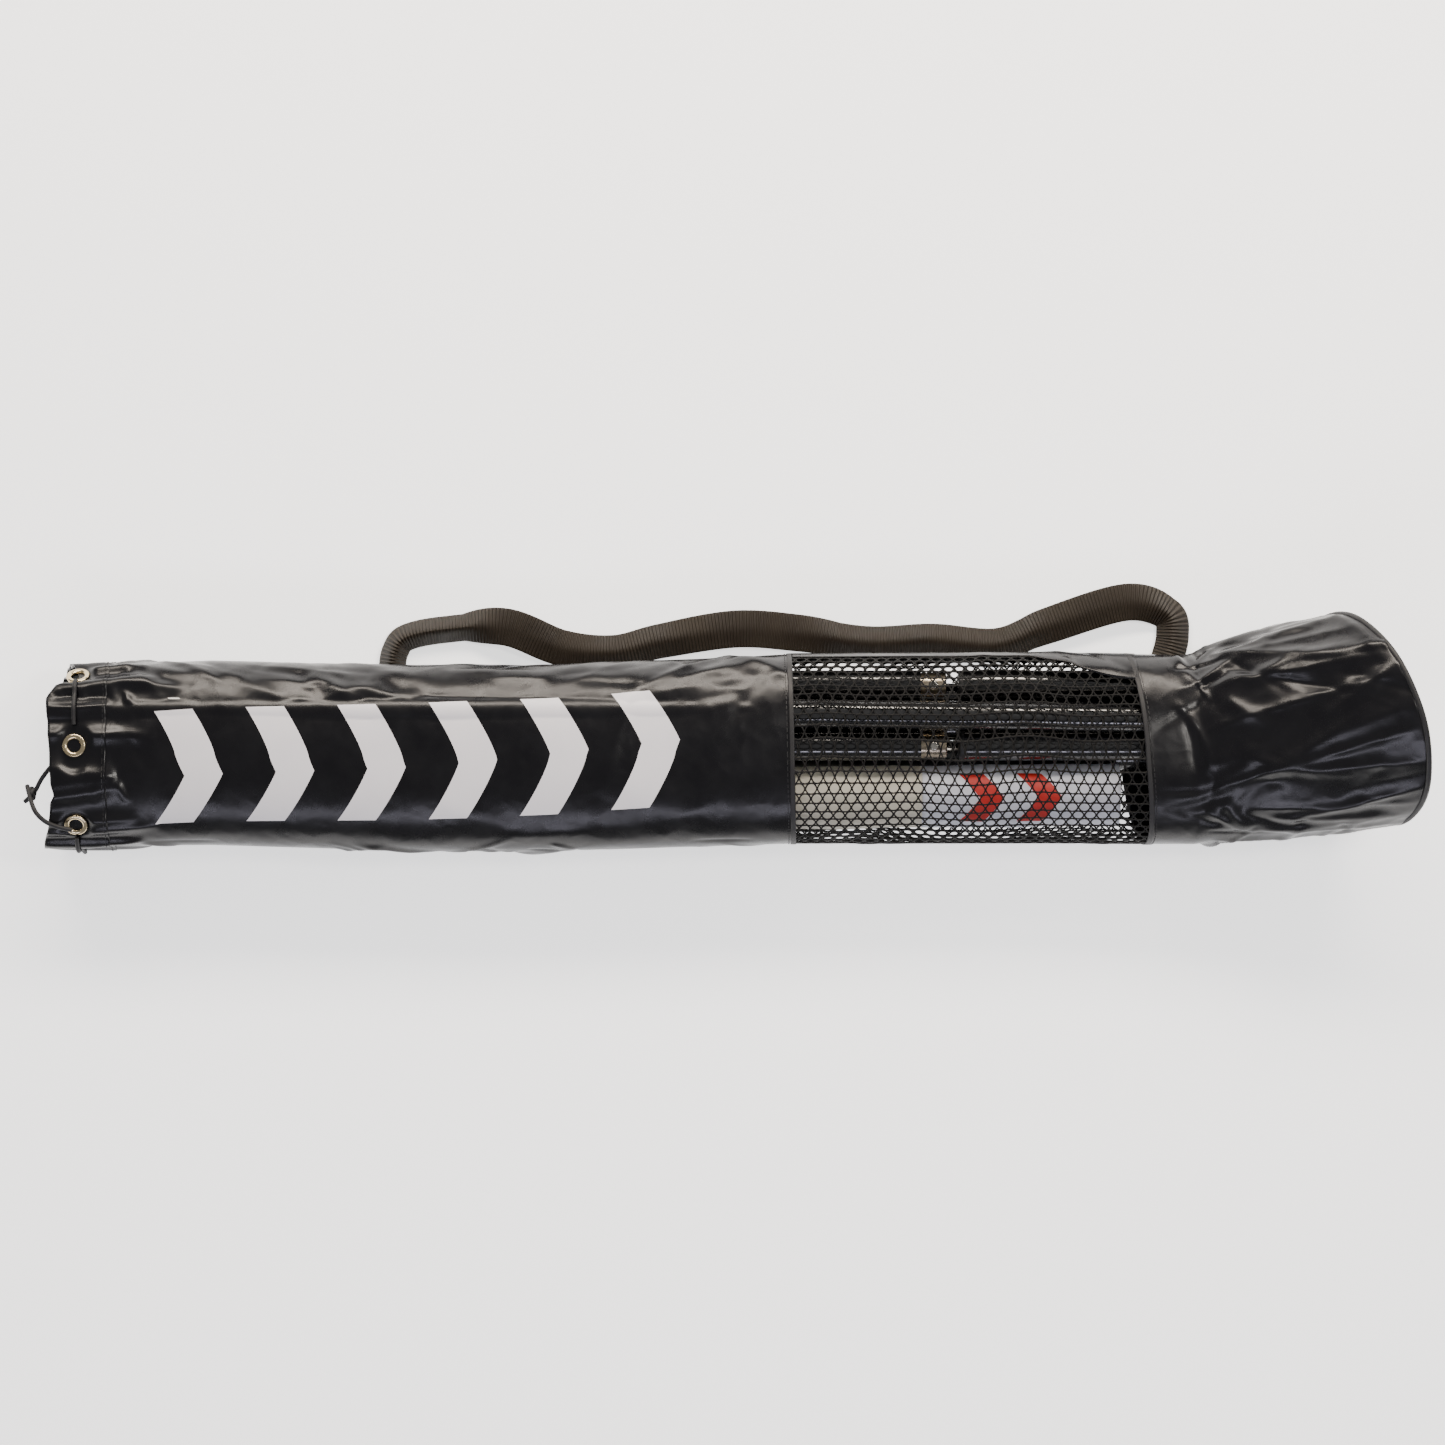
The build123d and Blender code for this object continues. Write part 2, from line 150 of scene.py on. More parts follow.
def apply_modifiers(piece: bpy.types.Object) -> None:
    """Turn a piece's modifiers into plain mesh."""
    graph = bpy.context.evaluated_depsgraph_get()
    mesh = bpy.data.meshes.new_from_object(piece.evaluated_get(graph))
    piece.modifiers.clear()
    old = piece.data
    piece.data = mesh
    bpy.data.meshes.remove(old)


def thicken(piece: bpy.types.Object, thickness: float, offset: float = -1.0) -> None:
    """Give a sheet its thickness in millimetres; offset -1 grows inwards, 1 outwards."""
    solidify = piece.modifiers.new("thickness", "SOLIDIFY")
    solidify.thickness = thickness * MM
    solidify.offset = offset
    solidify.use_even_offset = False
    apply_modifiers(piece)
    piece.data.polygons.foreach_set("use_smooth", [True] * len(piece.data.polygons))


def bevel_edges(piece: bpy.types.Object, width: float, segments: int = 2) -> None:
    """Round a hard-edged piece's corners by a width in millimetres."""
    bevel = piece.modifiers.new("bevel", "BEVEL")
    bevel.width = width * MM
    bevel.segments = segments
    bevel.limit_method = "ANGLE"
    apply_modifiers(piece)


# ------------------------------------------------------------------ finishes
def linear(hex_colour: str) -> tuple[float, float, float, float]:
    """Turn an sRGB hex colour, such as #1A1A1C, to linear red, green, blue and alpha."""
    values = [int(hex_colour[i:i + 2], 16) / 255 for i in (1, 3, 5)]
    red, green, blue = (v / 12.92 if v <= 0.04045 else ((v + 0.055) / 1.055) ** 2.4 for v in values)
    return (red, green, blue, 1.0)


def add_node(tree: bpy.types.NodeTree, kind: str, settings: Optional[dict] = None,
             **inputs: object) -> bpy.types.Node:
    """Add one shader node.

    Args:
        tree: The material's node tree.
        kind: The node's type name.
        settings: Properties to set on the node.
        inputs: Values or output sockets for its inputs, where an underscore stands for a space.

    Returns:
        The node.
    """
    node = tree.nodes.new(kind)
    for key, value in (settings or {}).items():
        setattr(node, key, value)
    for key, value in inputs.items():
        if key.startswith("in") and key[2:].isdigit():
            socket = node.inputs[int(key[2:])]
        else:
            socket = node.inputs[key.replace("_", " ")]
        if isinstance(value, bpy.types.NodeSocket):
            tree.links.new(value, socket)
        else:
            socket.default_value = value
    return node


class Weave(Enum):
    """How a finish's fine surface is built."""

    PLAIN = "plain"
    COATED = "coated"
    RIBBED = "ribbed"
    TWINE = "twine"
    NETTING = "netting"
    METAL = "metal"


@dataclass(frozen=True)
class Finish:
    """A real material and how its surface was made.

    Attributes:
        name: Its common name and process.
        colour: Main sRGB colour.
        second: Second sRGB colour, for variation.
        roughness: Lowest and highest roughness over the surface.
        weave: Which fine surface it has.
        pitch: Size in millimetres of the fine surface's repeat.
        bump: Height in millimetres of the fine surface.
        metallic: 1 for bare metal.
        ior: Index of refraction of a non-metal.
        sheen: Weight of the fuzz at grazing angles.
        coat: Weight of a clear film.
        coat_roughness: Roughness of that film.
        crinkle: Height in millimetres of the soft crumple bump.
        crinkle_size: Size in millimetres of that crumple.
    """

    name: str
    colour: str
    second: str
    roughness: tuple[float, float]
    weave: Weave = Weave.PLAIN
    pitch: float = 1.0
    bump: float = 0.1
    metallic: float = 0.0
    ior: float = 1.5
    sheen: float = 0.0
    coat: float = 0.0
    coat_roughness: float = 0.1
    crinkle: float = 0.0
    crinkle_size: float = 12.0

    def material(self) -> bpy.types.Material:
        """The Blender material, made once and shared by all pieces of this finish."""
        found = bpy.data.materials.get(self.name)
        if found:
            return found
        made = bpy.data.materials.new(self.name)
        made.use_nodes = True
        tree = made.node_tree
        tree.nodes.clear()
        place = add_node(tree, "ShaderNodeTexCoord")
        patches = add_node(tree, "ShaderNodeTexNoise", Vector=place.outputs["Object"], Scale=40.0,
                           Detail=4.0, Roughness=0.6)
        tint = add_node(tree, "ShaderNodeMix", {"data_type": "RGBA"}, in0=patches.outputs["Fac"],
                        in6=linear(self.colour), in7=linear(self.second))
        rough = add_node(tree, "ShaderNodeMapRange", Value=patches.outputs["Fac"], From_Min=0.3,
                         From_Max=0.7, To_Min=self.roughness[0], To_Max=self.roughness[1])
        shader = add_node(tree, "ShaderNodeBsdfPrincipled", Base_Color=tint.outputs[2],
                          Roughness=rough.outputs[0], Metallic=self.metallic, Sheen_Weight=self.sheen,
                          Coat_Weight=self.coat, Coat_Roughness=self.coat_roughness)
        if not self.metallic:
            shader.inputs["IOR"].default_value = self.ior
        height = self.fine_height(tree, place)
        normal = None
        if self.crinkle:
            normal = self.crumple(tree, place)
        if height is not None:
            bump = add_node(tree, "ShaderNodeBump", Height=height, Strength=1.0, Distance=self.bump * MM)
            if normal is not None:
                tree.links.new(normal, bump.inputs["Normal"])
            normal = bump.outputs["Normal"]
        if normal is not None:
            tree.links.new(normal, shader.inputs["Normal"])
        out = add_node(tree, "ShaderNodeOutputMaterial")
        tree.links.new(shader.outputs["BSDF"], out.inputs["Surface"])
        return made

    def crumple(self, tree: bpy.types.NodeTree, place: bpy.types.Node) -> bpy.types.NodeSocket:
        """Soft crumples and sharp little creases, as a normal."""
        warp = add_node(tree, "ShaderNodeTexNoise", Vector=place.outputs["Object"],
                        Scale=0.5 / (self.crinkle_size * MM), Detail=2.0)
        bent = add_node(tree, "ShaderNodeVectorMath", {"operation": "MULTIPLY_ADD"})
        tree.links.new(warp.outputs["Color"], bent.inputs[0])
        bent.inputs[1].default_value = (self.crinkle_size * MM * 1.6,) * 3
        tree.links.new(place.outputs["Object"], bent.inputs[2])
        facets = add_node(tree, "ShaderNodeTexVoronoi", {"feature": "SMOOTH_F1"},
                          Vector=bent.outputs["Vector"], Scale=1 / (self.crinkle_size * MM))
        facets.inputs["Smoothness"].default_value = 0.35
        bump = add_node(tree, "ShaderNodeBump", Height=facets.outputs["Distance"], Strength=0.6,
                        Distance=self.crinkle * MM)
        return bump.outputs["Normal"]

    def fine_height(self, tree: bpy.types.NodeTree,
                    place: bpy.types.Node) -> Optional[bpy.types.NodeSocket]:
        """The fine surface as a height from 0 to 1."""
        if self.weave in (Weave.COATED, Weave.RIBBED, Weave.TWINE, Weave.NETTING):
            across = TAU / (2 * self.pitch)
            split = add_node(tree, "ShaderNodeSeparateXYZ", Vector=place.outputs["UV"])
            waves = []
            for axis, squeeze in ((0, 1.0), (1, 0.06 if self.weave is Weave.RIBBED else 1.0)):
                scaled = add_node(tree, "ShaderNodeMath", {"operation": "MULTIPLY"},
                                  in0=split.outputs[axis], in1=across * squeeze * 2)
                waves.append(add_node(tree, "ShaderNodeMath", {"operation": "SINE"},
                                      in0=scaled.outputs[0]).outputs[0])
            joined = add_node(tree, "ShaderNodeMath",
                              {"operation": "ADD" if self.weave is Weave.RIBBED else "MULTIPLY"},
                              in0=waves[0], in1=waves[1])
            grain = add_node(tree, "ShaderNodeMath", {"operation": "MULTIPLY_ADD"}, in0=joined.outputs[0],
                             in1=0.5, in2=0.5)
            return grain.outputs[0]
        grain = add_node(tree, "ShaderNodeTexNoise", Vector=place.outputs["Object"],
                         Scale=1 / (self.pitch * MM), Detail=3.0)
        return grain.outputs["Fac"]


# Polyurethane-coated nylon, woven then coated: a deep black that still shows broad soft highlights.
COATED_NYLON = Finish("coated_nylon_woven", "#060508", "#0C0B0F", (0.22, 0.34), Weave.COATED, pitch=0.9,
                      bump=0.015, ior=1.4, crinkle=0.7, crinkle_size=14.0)
# Polyester hexagonal mesh, warp knitted: thin matt black threads with a slight shine along them.
KNIT_MESH = Finish("polyester_mesh_knitted", "#050404", "#0C0A08", (0.6, 0.75), Weave.PLAIN, pitch=0.6,
                   bump=0.05, ior=1.35)
# Polypropylene webbing, woven: dark olive brown with crosswise ribs that catch the light. The real
# ribs are 1.3 mm apart and too fine to show, so they are drawn at 2.2 mm.
WEBBING = Finish("polypropylene_webbing_woven", "#1A120A", "#2E2415", (0.45, 0.65), Weave.RIBBED, pitch=2.2,
                 bump=0.7)
# Polyester cord, braided.
BRAID = Finish("polyester_cord_braided", "#0B0A0C", "#1A191C", (0.55, 0.7), Weave.TWINE, pitch=1.0,
               bump=0.15)
# Seam tape and piping, woven nylon: a matt edge to the glossy cloth.
TAPE = Finish("nylon_tape_woven", "#080709", "#121013", (0.45, 0.6), Weave.COATED, pitch=1.0, bump=0.06)
# Screen-printed white ink: flat, opaque, a touch cooler than paper.
WHITE_INK = Finish("white_ink_screen_printed", "#E9E6EA", "#DEDBE0", (0.4, 0.5), Weave.COATED, pitch=0.9,
                   bump=0.01)
RED_INK = Finish("red_ink_screen_printed", "#C5231B", "#B01C16", (0.45, 0.55), Weave.COATED, pitch=0.9,
                 bump=0.01)
# Nickel-plated brass, stamped: a warm mirror with fine wear.
NICKEL = Finish("nickel_plated_brass_stamped", "#D9CBB0", "#BDA97F", (0.12, 0.28), Weave.METAL, pitch=3.0,
                bump=0.02, metallic=1.0)
# Steel tube, powder coated: satin black with a faint orange peel that stretches the highlights.
POWDER_BLACK = Finish("steel_powder_coated", "#030304", "#070708", (0.18, 0.28), Weave.METAL, pitch=1.5,
                      bump=0.01, ior=1.55, coat=1.0, coat_roughness=0.05)
# Zinc-plated steel, drawn: bright, slightly warm, brushed along its length.
ZINC_STEEL = Finish("zinc_plated_steel_drawn", "#B9AE9C", "#8F8371", (0.22, 0.4), Weave.METAL, pitch=0.7,
                    bump=0.02, metallic=1.0)
# Polyethylene plug, injection moulded.
PLUG = Finish("polyethylene_moulded", "#101012", "#18181A", (0.4, 0.5), Weave.METAL, pitch=0.8, bump=0.03)
# Nickel-plated steel button, turned.
BUTTON = Finish("nickel_plated_steel_turned", "#C9C6C0", "#AFAAA2", (0.15, 0.25), Weave.METAL, pitch=0.5,
                bump=0.01, metallic=1.0)
# Polyester band, coated and sewn: cool white.
BAND_WHITE = Finish("polyester_band_coated", "#E2E4EE", "#CDD0DE", (0.4, 0.55), Weave.COATED, pitch=1.0,
                    bump=0.03, crinkle=0.35, crinkle_size=18.0)
# Cotton and polyester tape, woven: cream.
BAND_CREAM = Finish("cotton_band_woven", "#DEDACE", "#CBC6B6", (0.6, 0.75), Weave.COATED, pitch=1.2,
                    bump=0.08, crinkle=0.35, crinkle_size=18.0)
# Polyethylene net, knotted and rolled up.
NET_TWINE = Finish("polyethylene_net_knotted", "#101010", "#2A2A28", (0.5, 0.7), Weave.NETTING, pitch=4.0,
                   bump=0.6)
# Hook-and-loop tape, woven nylon with a cut pile.
HOOK_LOOP = Finish("hook_and_loop_woven", "#0C0C0D", "#1E1E20", (0.7, 0.85), Weave.TWINE, pitch=0.8,
                   bump=0.12, sheen=0.4)


# ------------------------------------------------------------------ the bag's form
@dataclass
class Fold:
    """One crease of the cloth: a ridge or a valley along a short line.

    Attributes:
        start: Along and around place of one end, in millimetres on the cloth.
        end: The same for the other end.
        width: Half width of the ridge.
        height: Its height, negative for a valley.
        sharp: 1 for a crisp crest, 2 for a round one.
    """

    start: tuple[float, float]
    end: tuple[float, float]
    width: float
    height: float
    sharp: float = 1.5

    def lift(self, along: Array, girth: Array) -> Array:
        """Height that the fold adds at points of the cloth."""
        run = np.subtract(self.end, self.start)
        length = float(np.hypot(*run)) or 1.0
        way = run / length
        from_start = (along - self.start[0]) * way[0] + (girth - self.start[1]) * way[1]
        aside = -(along - self.start[0]) * way[1] + (girth - self.start[1]) * way[0]
        near = np.exp(-np.abs(aside / self.width) ** self.sharp)
        middle = 2 * from_start / length - 1
        return self.height * near * np.clip(1 - middle ** 2, 0, 1) ** 0.8


@dataclass
class BagForm:
    """The cloth shell of the bag, from its mouth to its base.

    A point of the cloth has two numbers: along, in millimetres of X on the straight part, and around,
    a share of the girth from 0 at the top, through 0.25 at the -Y side and 0.5 on the ground.
    """

    flare: float = 305.0
    base_radius: float = 71.5
    base_along: float = 420.0
    # How far the base panel is turned towards +Y and leans down, in degrees.
    base_turn: tuple[float, float] = (18.0, 22.0)
    squareness: float = 2.45
    folds: list[Fold] = field(default_factory=list)
    deepest: float = 5.0
    tube_gap: float = 2.6
    # Places on the cloth, along and around in millimetres, that a grommet's flange holds flat.
    flats: list[tuple[float, float]] = field(default_factory=list)
    # Stations of the straight part: along, middle of the width, half width, height of the top.
    stations: tuple[tuple[float, float, float, float], ...] = (
        (-455.0, -27.0, 57.0, 76.0), (-424.0, -26.5, 58.0, 77.0), (-396.0, -24.5, 60.5, 77.5),
        (-343.0, -23.5, 61.0, 78.0), (-211.0, -27.0, 61.5, 77.0), (-119.0, -27.0, 61.8, 77.5),
        (-20.0, -23.5, 62.0, 78.0), (40.0, -21.0, 62.6, 78.0), (211.0, -20.5, 63.0, 78.0),
        (305.0, -21.5, 62.5, 80.0))

    def __post_init__(self) -> None:
        """Read the seams, the base and the tubes from the frame."""
        self.hem_end = node_box("mouth_hem")[1][0]
        self.window_start = node_box("mesh_window")[0][0]
        self.window_end = node_box("mesh_window")[1][0]
        low, high = node_box("base_panel")
        self.base_middle = (low + high) / 2
        yaw, lean = (math.radians(angle) for angle in self.base_turn)
        self.base_normal = np.array([math.cos(yaw) * math.cos(lean), math.sin(yaw) * math.cos(lean),
                                     -math.sin(lean)])
        self.base_across = np.array([-math.sin(yaw), math.cos(yaw), 0.0])
        self.base_up = np.cross(self.base_normal, self.base_across)
        # Each tube's rear end, its middle across and up, and its radius.
        self.tubes = []
        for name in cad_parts:
            if name.startswith(("base_bar", "post_", "foot_tube")) and name[-1].isdigit():
                low, high = node_box(name)
                self.tubes.append((high[0], *((low + high) / 2)[1:], (high[2] - low[2]) / 2))

    def section(self, along: Array) -> tuple[Array, Array, Array]:
        """Middle, half width and top of the straight part at each place along it."""
        table = np.array(self.stations)
        blend = [np.interp(along, table[:, 0], table[:, column]) for column in (1, 2, 3)]
        return blend[0], blend[1], blend[2]

    def shell(self, along: Array, around: Array) -> Array:
        """Points of the smooth shell, before folds."""
        along, around = np.broadcast_arrays(np.asarray(along, float), np.asarray(around, float))
        middle, half, top = self.section(along)
        angle = around * TAU
        side, up = -np.sin(angle), np.cos(angle)
        power = 2 / self.squareness
        y = middle + half * np.sign(side) * np.abs(side) ** power
        z = top / 2 * (1 + np.sign(up) * np.abs(up) ** power)
        straight = np.stack([along, y, z], axis=-1)
        share = np.clip((along - self.flare) / (self.base_along - self.flare), 0, 1)[..., None]
        share = 0.35 * share + 0.65 * share ** 1.5
        rim = (self.base_middle + self.base_radius * (side[..., None] * self.base_across
                                                      + up[..., None] * self.base_up))
        flare_point = np.stack([np.full_like(y, self.flare), y, z], axis=-1)
        rear = flare_point + (rim - flare_point) * share
        return np.where((along > self.flare)[..., None], rear, straight)

    def normal(self, along: Array, around: Array) -> Array:
        """Outward directions of the smooth shell."""
        step_along, step_around = 0.5, 0.002
        ahead = self.shell(along + step_along, around) - self.shell(along - step_along, around)
        aside = self.shell(along, around + step_around) - self.shell(along, around - step_around)
        cross = np.cross(aside, ahead)
        return cross / np.maximum(np.linalg.norm(cross, axis=-1, keepdims=True), 1e-9)

    def girth(self, around: Array) -> Array:
        """Millimetres around the cloth from the top, negative towards +Y."""
        wrapped = (np.asarray(around, float) + 0.5) % 1.0 - 0.5
        return wrapped * GIRTH

    def lift(self, along: Array, around: Array) -> Array:
        """How far the folds raise the cloth."""
        girth = self.girth(around)
        total = np.zeros(np.broadcast(along, around).shape)
        for fold in self.folds:
            reach = 5 * fold.width
            low = min(fold.start[0], fold.end[0]) - reach
            high = max(fold.start[0], fold.end[0]) + reach
            near = (along > low) & (along < high)
            if near.any():
                total[near] += fold.lift(along[near], girth[near])
        for flat_along, flat_girth in self.flats:
            aside = (girth - flat_girth + GIRTH / 2) % GIRTH - GIRTH / 2
            total = total * smooth((np.hypot(along - flat_along, aside) - FLANGE_REACH) / FLANGE_EASE)
        return self.deepest * np.tanh(total / self.deepest)

    def place(self, along: Array, around: Array, proud: float = 0.0) -> Array:
        """Points of the folded cloth, raised by proud millimetres and kept clear of the tubes inside."""
        along, around = np.broadcast_arrays(np.asarray(along, float), np.asarray(around, float))
        points = self.shell(along, around)
        lift = self.lift(along, around) + proud
        normal = self.normal(along, around)
        moved = points + normal * lift[..., None]
        for end, middle_y, middle_z, radius in self.tubes:
            reach = radius + self.tube_gap + proud
            away = moved - np.array((0.0, middle_y, middle_z))
            away[..., 0] = 0.0
            short = reach ** 2 - np.sum(away ** 2, axis=-1)
            outward = np.sum(away * normal, axis=-1)
            push = np.sqrt(np.maximum(outward ** 2 + short, 0.0)) - outward
            touching = (short > 0) & (along < end + 4.0)
            moved = moved + normal * np.where(touching, push, 0.0)[..., None]
        moved[..., 2] = np.maximum(moved[..., 2], 0.15)
        return moved


class Creaser:
    """Makes the folds of each stretch of the bag with one seeded random source."""

    def __init__(self) -> None:
        """Start the random source."""
        self.random = np.random.default_rng(SEED)

    def scatter(self, count: int, along: tuple[float, float], girth: tuple[float, float],
                length: tuple[float, float], width: tuple[float, float], height: tuple[float, float],
                heading: float, spread: float, valleys: float = 0.4) -> list[Fold]:
        """Random folds in a patch of cloth.

        Args:
            count: How many.
            along: Range of their middles along the bag.
            girth: Range of their middles around it.
            length: Shortest and longest.
            width: Narrowest and widest.
            height: Lowest and highest.
            heading: Usual direction in degrees from the bag's length.
            spread: How far the direction strays, in degrees.
            valleys: Share of them that go inwards.

        Returns:
            The folds.
        """
        folds = []
        for _ in range(count):
            middle = (self.random.uniform(*along), self.random.uniform(*girth))
            half = self.random.uniform(*length) / 2
            turn = math.radians(heading + self.random.normal(0, spread))
            step = (half * math.cos(turn), half * math.sin(turn))
            tall = self.random.uniform(*height)
            if self.random.random() < valleys:
                tall *= -0.6
            folds.append(Fold((middle[0] - step[0], middle[1] - step[1]),
                              (middle[0] + step[0], middle[1] + step[1]),
                              self.random.uniform(*width), tall, self.random.uniform(1.4, 2.0)))
        return folds

    def front(self) -> list[Fold]:
        """Long soft wrinkles of the printed sleeve, busier along its upper edge."""
        return (self.scatter(38, (-390, -190), (-80, -25), (25, 80), (3.8, 6.4), (0.6, 1.6), 10, 28)
                + self.scatter(26, (-190, 20), (-80, -20), (30, 90), (3.4, 6.5), (0.4, 1.6), -12, 25)
                + self.scatter(26, (-390, 20), (-20, 60), (40, 120), (7.0, 12.0), (0.2, 0.7), 0, 14)
                + self.scatter(34, (-390, 20), (60, 110), (20, 70), (2.0, 5.0), (0.5, 1.7), 5, 25)
                + self.scatter(40, (-390, 20), (110, 250), (30, 90), (3.0, 8.0), (0.3, 1.0), 0, 30))

    def mouth_pleats(self) -> list[Fold]:
        """Pleats where the drawstring gathers the mouth."""
        folds = []
        for number in range(26):
            girth = -160 + 320 * (number + self.random.uniform(-0.3, 0.3)) / 26
            start = self.random.uniform(-449, -440)
            end = self.random.uniform(-412, -372)
            folds.append(Fold((start - 20, girth), (end, girth + self.random.uniform(-10, 10)),
                              self.random.uniform(3.2, 5.0), self.random.uniform(3.6, 6.6), 1.5))
        return folds + self.scatter(46, (-445, -385), (-160, 160), (8, 30), (1.4, 3.0), (0.7, 2.2), 40, 45)

    def rear(self) -> list[Fold]:
        """Folds that fan from the round base to the rear window seam."""
        fan = []
        for number in range(24):
            girth = -160 + 320 * (number + self.random.uniform(-0.4, 0.4)) / 24
            end = self.random.uniform(300, 365)
            fan.append(Fold((420.0, girth), (end, girth * 0.82 + self.random.uniform(-16, 16)),
                            self.random.uniform(2.5, 5.5), self.random.uniform(1.6, 4.2), 1.2))
        hand = [
            Fold((322, -62), (408, -30), 4.5, 4.2, 1.2), Fold((330, -45), (400, -10), 3.0, -2.4, 1.3),
            Fold((338, 5), (392, 28), 4.0, 3.2, 1.2), Fold((346, 22), (404, -6), 3.0, 2.6, 1.2),
            Fold((300, -80), (372, -78), 5.0, 3.0, 1.3), Fold((290, -30), (345, -52), 3.5, 1.8, 1.3),
            Fold((352, 48), (410, 62), 4.0, 2.8, 1.3), Fold((310, 30), (352, 66), 3.0, 1.6, 1.3)]
        return (fan + hand
                + self.scatter(90, (290, 415), (-165, 165), (18, 70), (1.8, 5.0), (0.8, 2.8), 0, 50))

    def window(self) -> list[Fold]:
        """Soft waves of the mesh, which has little body of its own."""
        return (self.scatter(30, (50, 260), (-90, 120), (25, 80), (3.0, 7.0), (0.4, 1.4), 20, 50)
                + self.scatter(16, (50, 260), (-165, 165), (40, 100), (6.0, 12.0), (0.5, 1.2), 0, 20))


# ------------------------------------------------------------------ the bag's cloth pieces
def straight_edge(along: float) -> Edge:
    """An edge that runs straight round the bag."""
    return lambda around: np.full_like(np.asarray(around, float), along)


@dataclass
class CarryBag:
    """Sleeves, window seams and their tapes, base, mouth hem and stitches."""

    form: BagForm
    fine: float = 1.9
    wall: float = 0.7
    rings: int = 232
    tape_half: float = 1.7

    def seam(self, around: Array, rear: bool) -> Array:
        """Place along the bag of a window seam; the rear one bows towards the base."""
        angle = np.asarray(around, float) * TAU
        if rear:
            return self.form.window_end + 7.0 + 5.0 * np.cos(angle) + 7.0 * np.sin(angle)
        return self.form.window_start - 4.0 + 1.5 * np.sin(angle)

    def seam_edge(self, rear: bool, shift: float) -> Edge:
        """An edge that keeps a distance along the bag from a window seam."""
        return lambda around: self.seam(around, rear) + shift

    def hem_edge(self, around: Array) -> Array:
        """Place along the bag of the mouth's uneven edge, in flaps between the gathers."""
        girth = self.form.girth(around)
        marks = ((-165, -443), (-120, -446), (-84, -436), (-62, -428), (-50, -427), (-44, -441),
                 (-34, -447), (-10, -445), (12, -443), (18, -441), (24, -444), (42, -446), (60, -450),
                 (70, -451), (84, -447), (110, -449), (140, -444), (165, -443))
        table = np.array(marks, float)
        return np.interp(girth, table[:, 0], table[:, 1])

    def patch(self, starts: Edge, ends: Edge, steps: int,
              proud: float = 0.0) -> tuple[Array, list, Array, Array]:
        """A closed band of cloth between two edges.

        Args:
            starts: Place along the bag of its first edge, for each around.
            ends: The same for its last edge.
            steps: Rows of points between them.
            proud: Millimetres above the cloth.

        Returns:
            Points, faces, and the along and around of each point.
        """
        around = np.arange(self.rings) / self.rings
        share = np.linspace(0, 1, steps)[:, None]
        along = starts(around)[None, :] * (1 - share) + ends(around)[None, :] * share
        around = np.broadcast_to(around[None, :], along.shape)
        points = self.form.place(along, around, proud).reshape(-1, 3)
        return points, grid_faces(steps, self.rings, closed=True), along.ravel(), around.ravel()

    def sleeve(self, name: str, starts: Edge, ends: Edge, finish: Finish,
               replaces: Sequence[str], proud: float = 0.0, wall: Optional[float] = None,
               step: Optional[float] = None) -> bpy.types.Object:
        """Make one sewn band of cloth with its thickness."""
        length = float(np.max(np.abs(ends(np.array([0.0, 0.25])) - starts(np.array([0.0, 0.25])))))
        steps = max(4, int(length / (step or self.fine)) + 1)
        points, faces, along, around = self.patch(starts, ends, steps, proud)
        cloth = np.stack([along, self.form.girth(around)], axis=1)
        piece = make_piece(name, points, faces, finish, replaces=replaces, uv=cloth)
        thicken(piece, wall or self.wall)
        return piece

    def make_sleeves(self) -> None:
        """The opaque sleeves, the folded hem and the seam tapes."""
        hem_end = self.form.hem_end
        self.sleeve("front_sleeve_cloth", straight_edge(hem_end - 1.0), self.seam_edge(False, 1.0),
                    COATED_NYLON, ["front_sleeve"])
        self.sleeve("mouth_hem_cloth", self.hem_edge, straight_edge(hem_end + 6.0), COATED_NYLON,
                    ["mouth_hem"], proud=0.5, wall=1.4)
        self.sleeve("rear_sleeve_cloth", self.seam_edge(True, -1.0), straight_edge(self.form.base_along),
                    COATED_NYLON, ["rear_sleeve"])
        for rear, node in ((False, "window_seam_front"), (True, "window_seam_rear")):
            self.sleeve(f"{node}_tape", self.seam_edge(rear, -self.tape_half),
                        self.seam_edge(rear, self.tape_half), TAPE, [node], proud=0.55,
                        wall=1.0, step=0.8)

    def make_stitches(self, name: str, line: Edge, proud: float, count: int = 110) -> None:
        """A row of thread stitches all round the bag at a place along it."""
        around = (np.arange(count) + 0.5) / count
        half = 0.34 / count
        points, faces = [], []
        for side in (-half, half):
            for sag, lift in ((0.0, 0.0), (0.28, 0.35), (-0.28, 0.35)):
                points.append(self.form.place(line(around + side) + sag, around + side, proud + lift))
        stacked = np.stack(points, axis=1)
        for number in range(count):
            base = number * 6
            faces += [(base, base + 1, base + 4, base + 3), (base + 1, base + 2, base + 5, base + 4),
                      (base + 2, base, base + 3, base + 5), (base, base + 2, base + 1),
                      (base + 3, base + 4, base + 5)]
        make_piece(name, stacked.reshape(-1, 3), faces, TAPE, is_smooth=False)

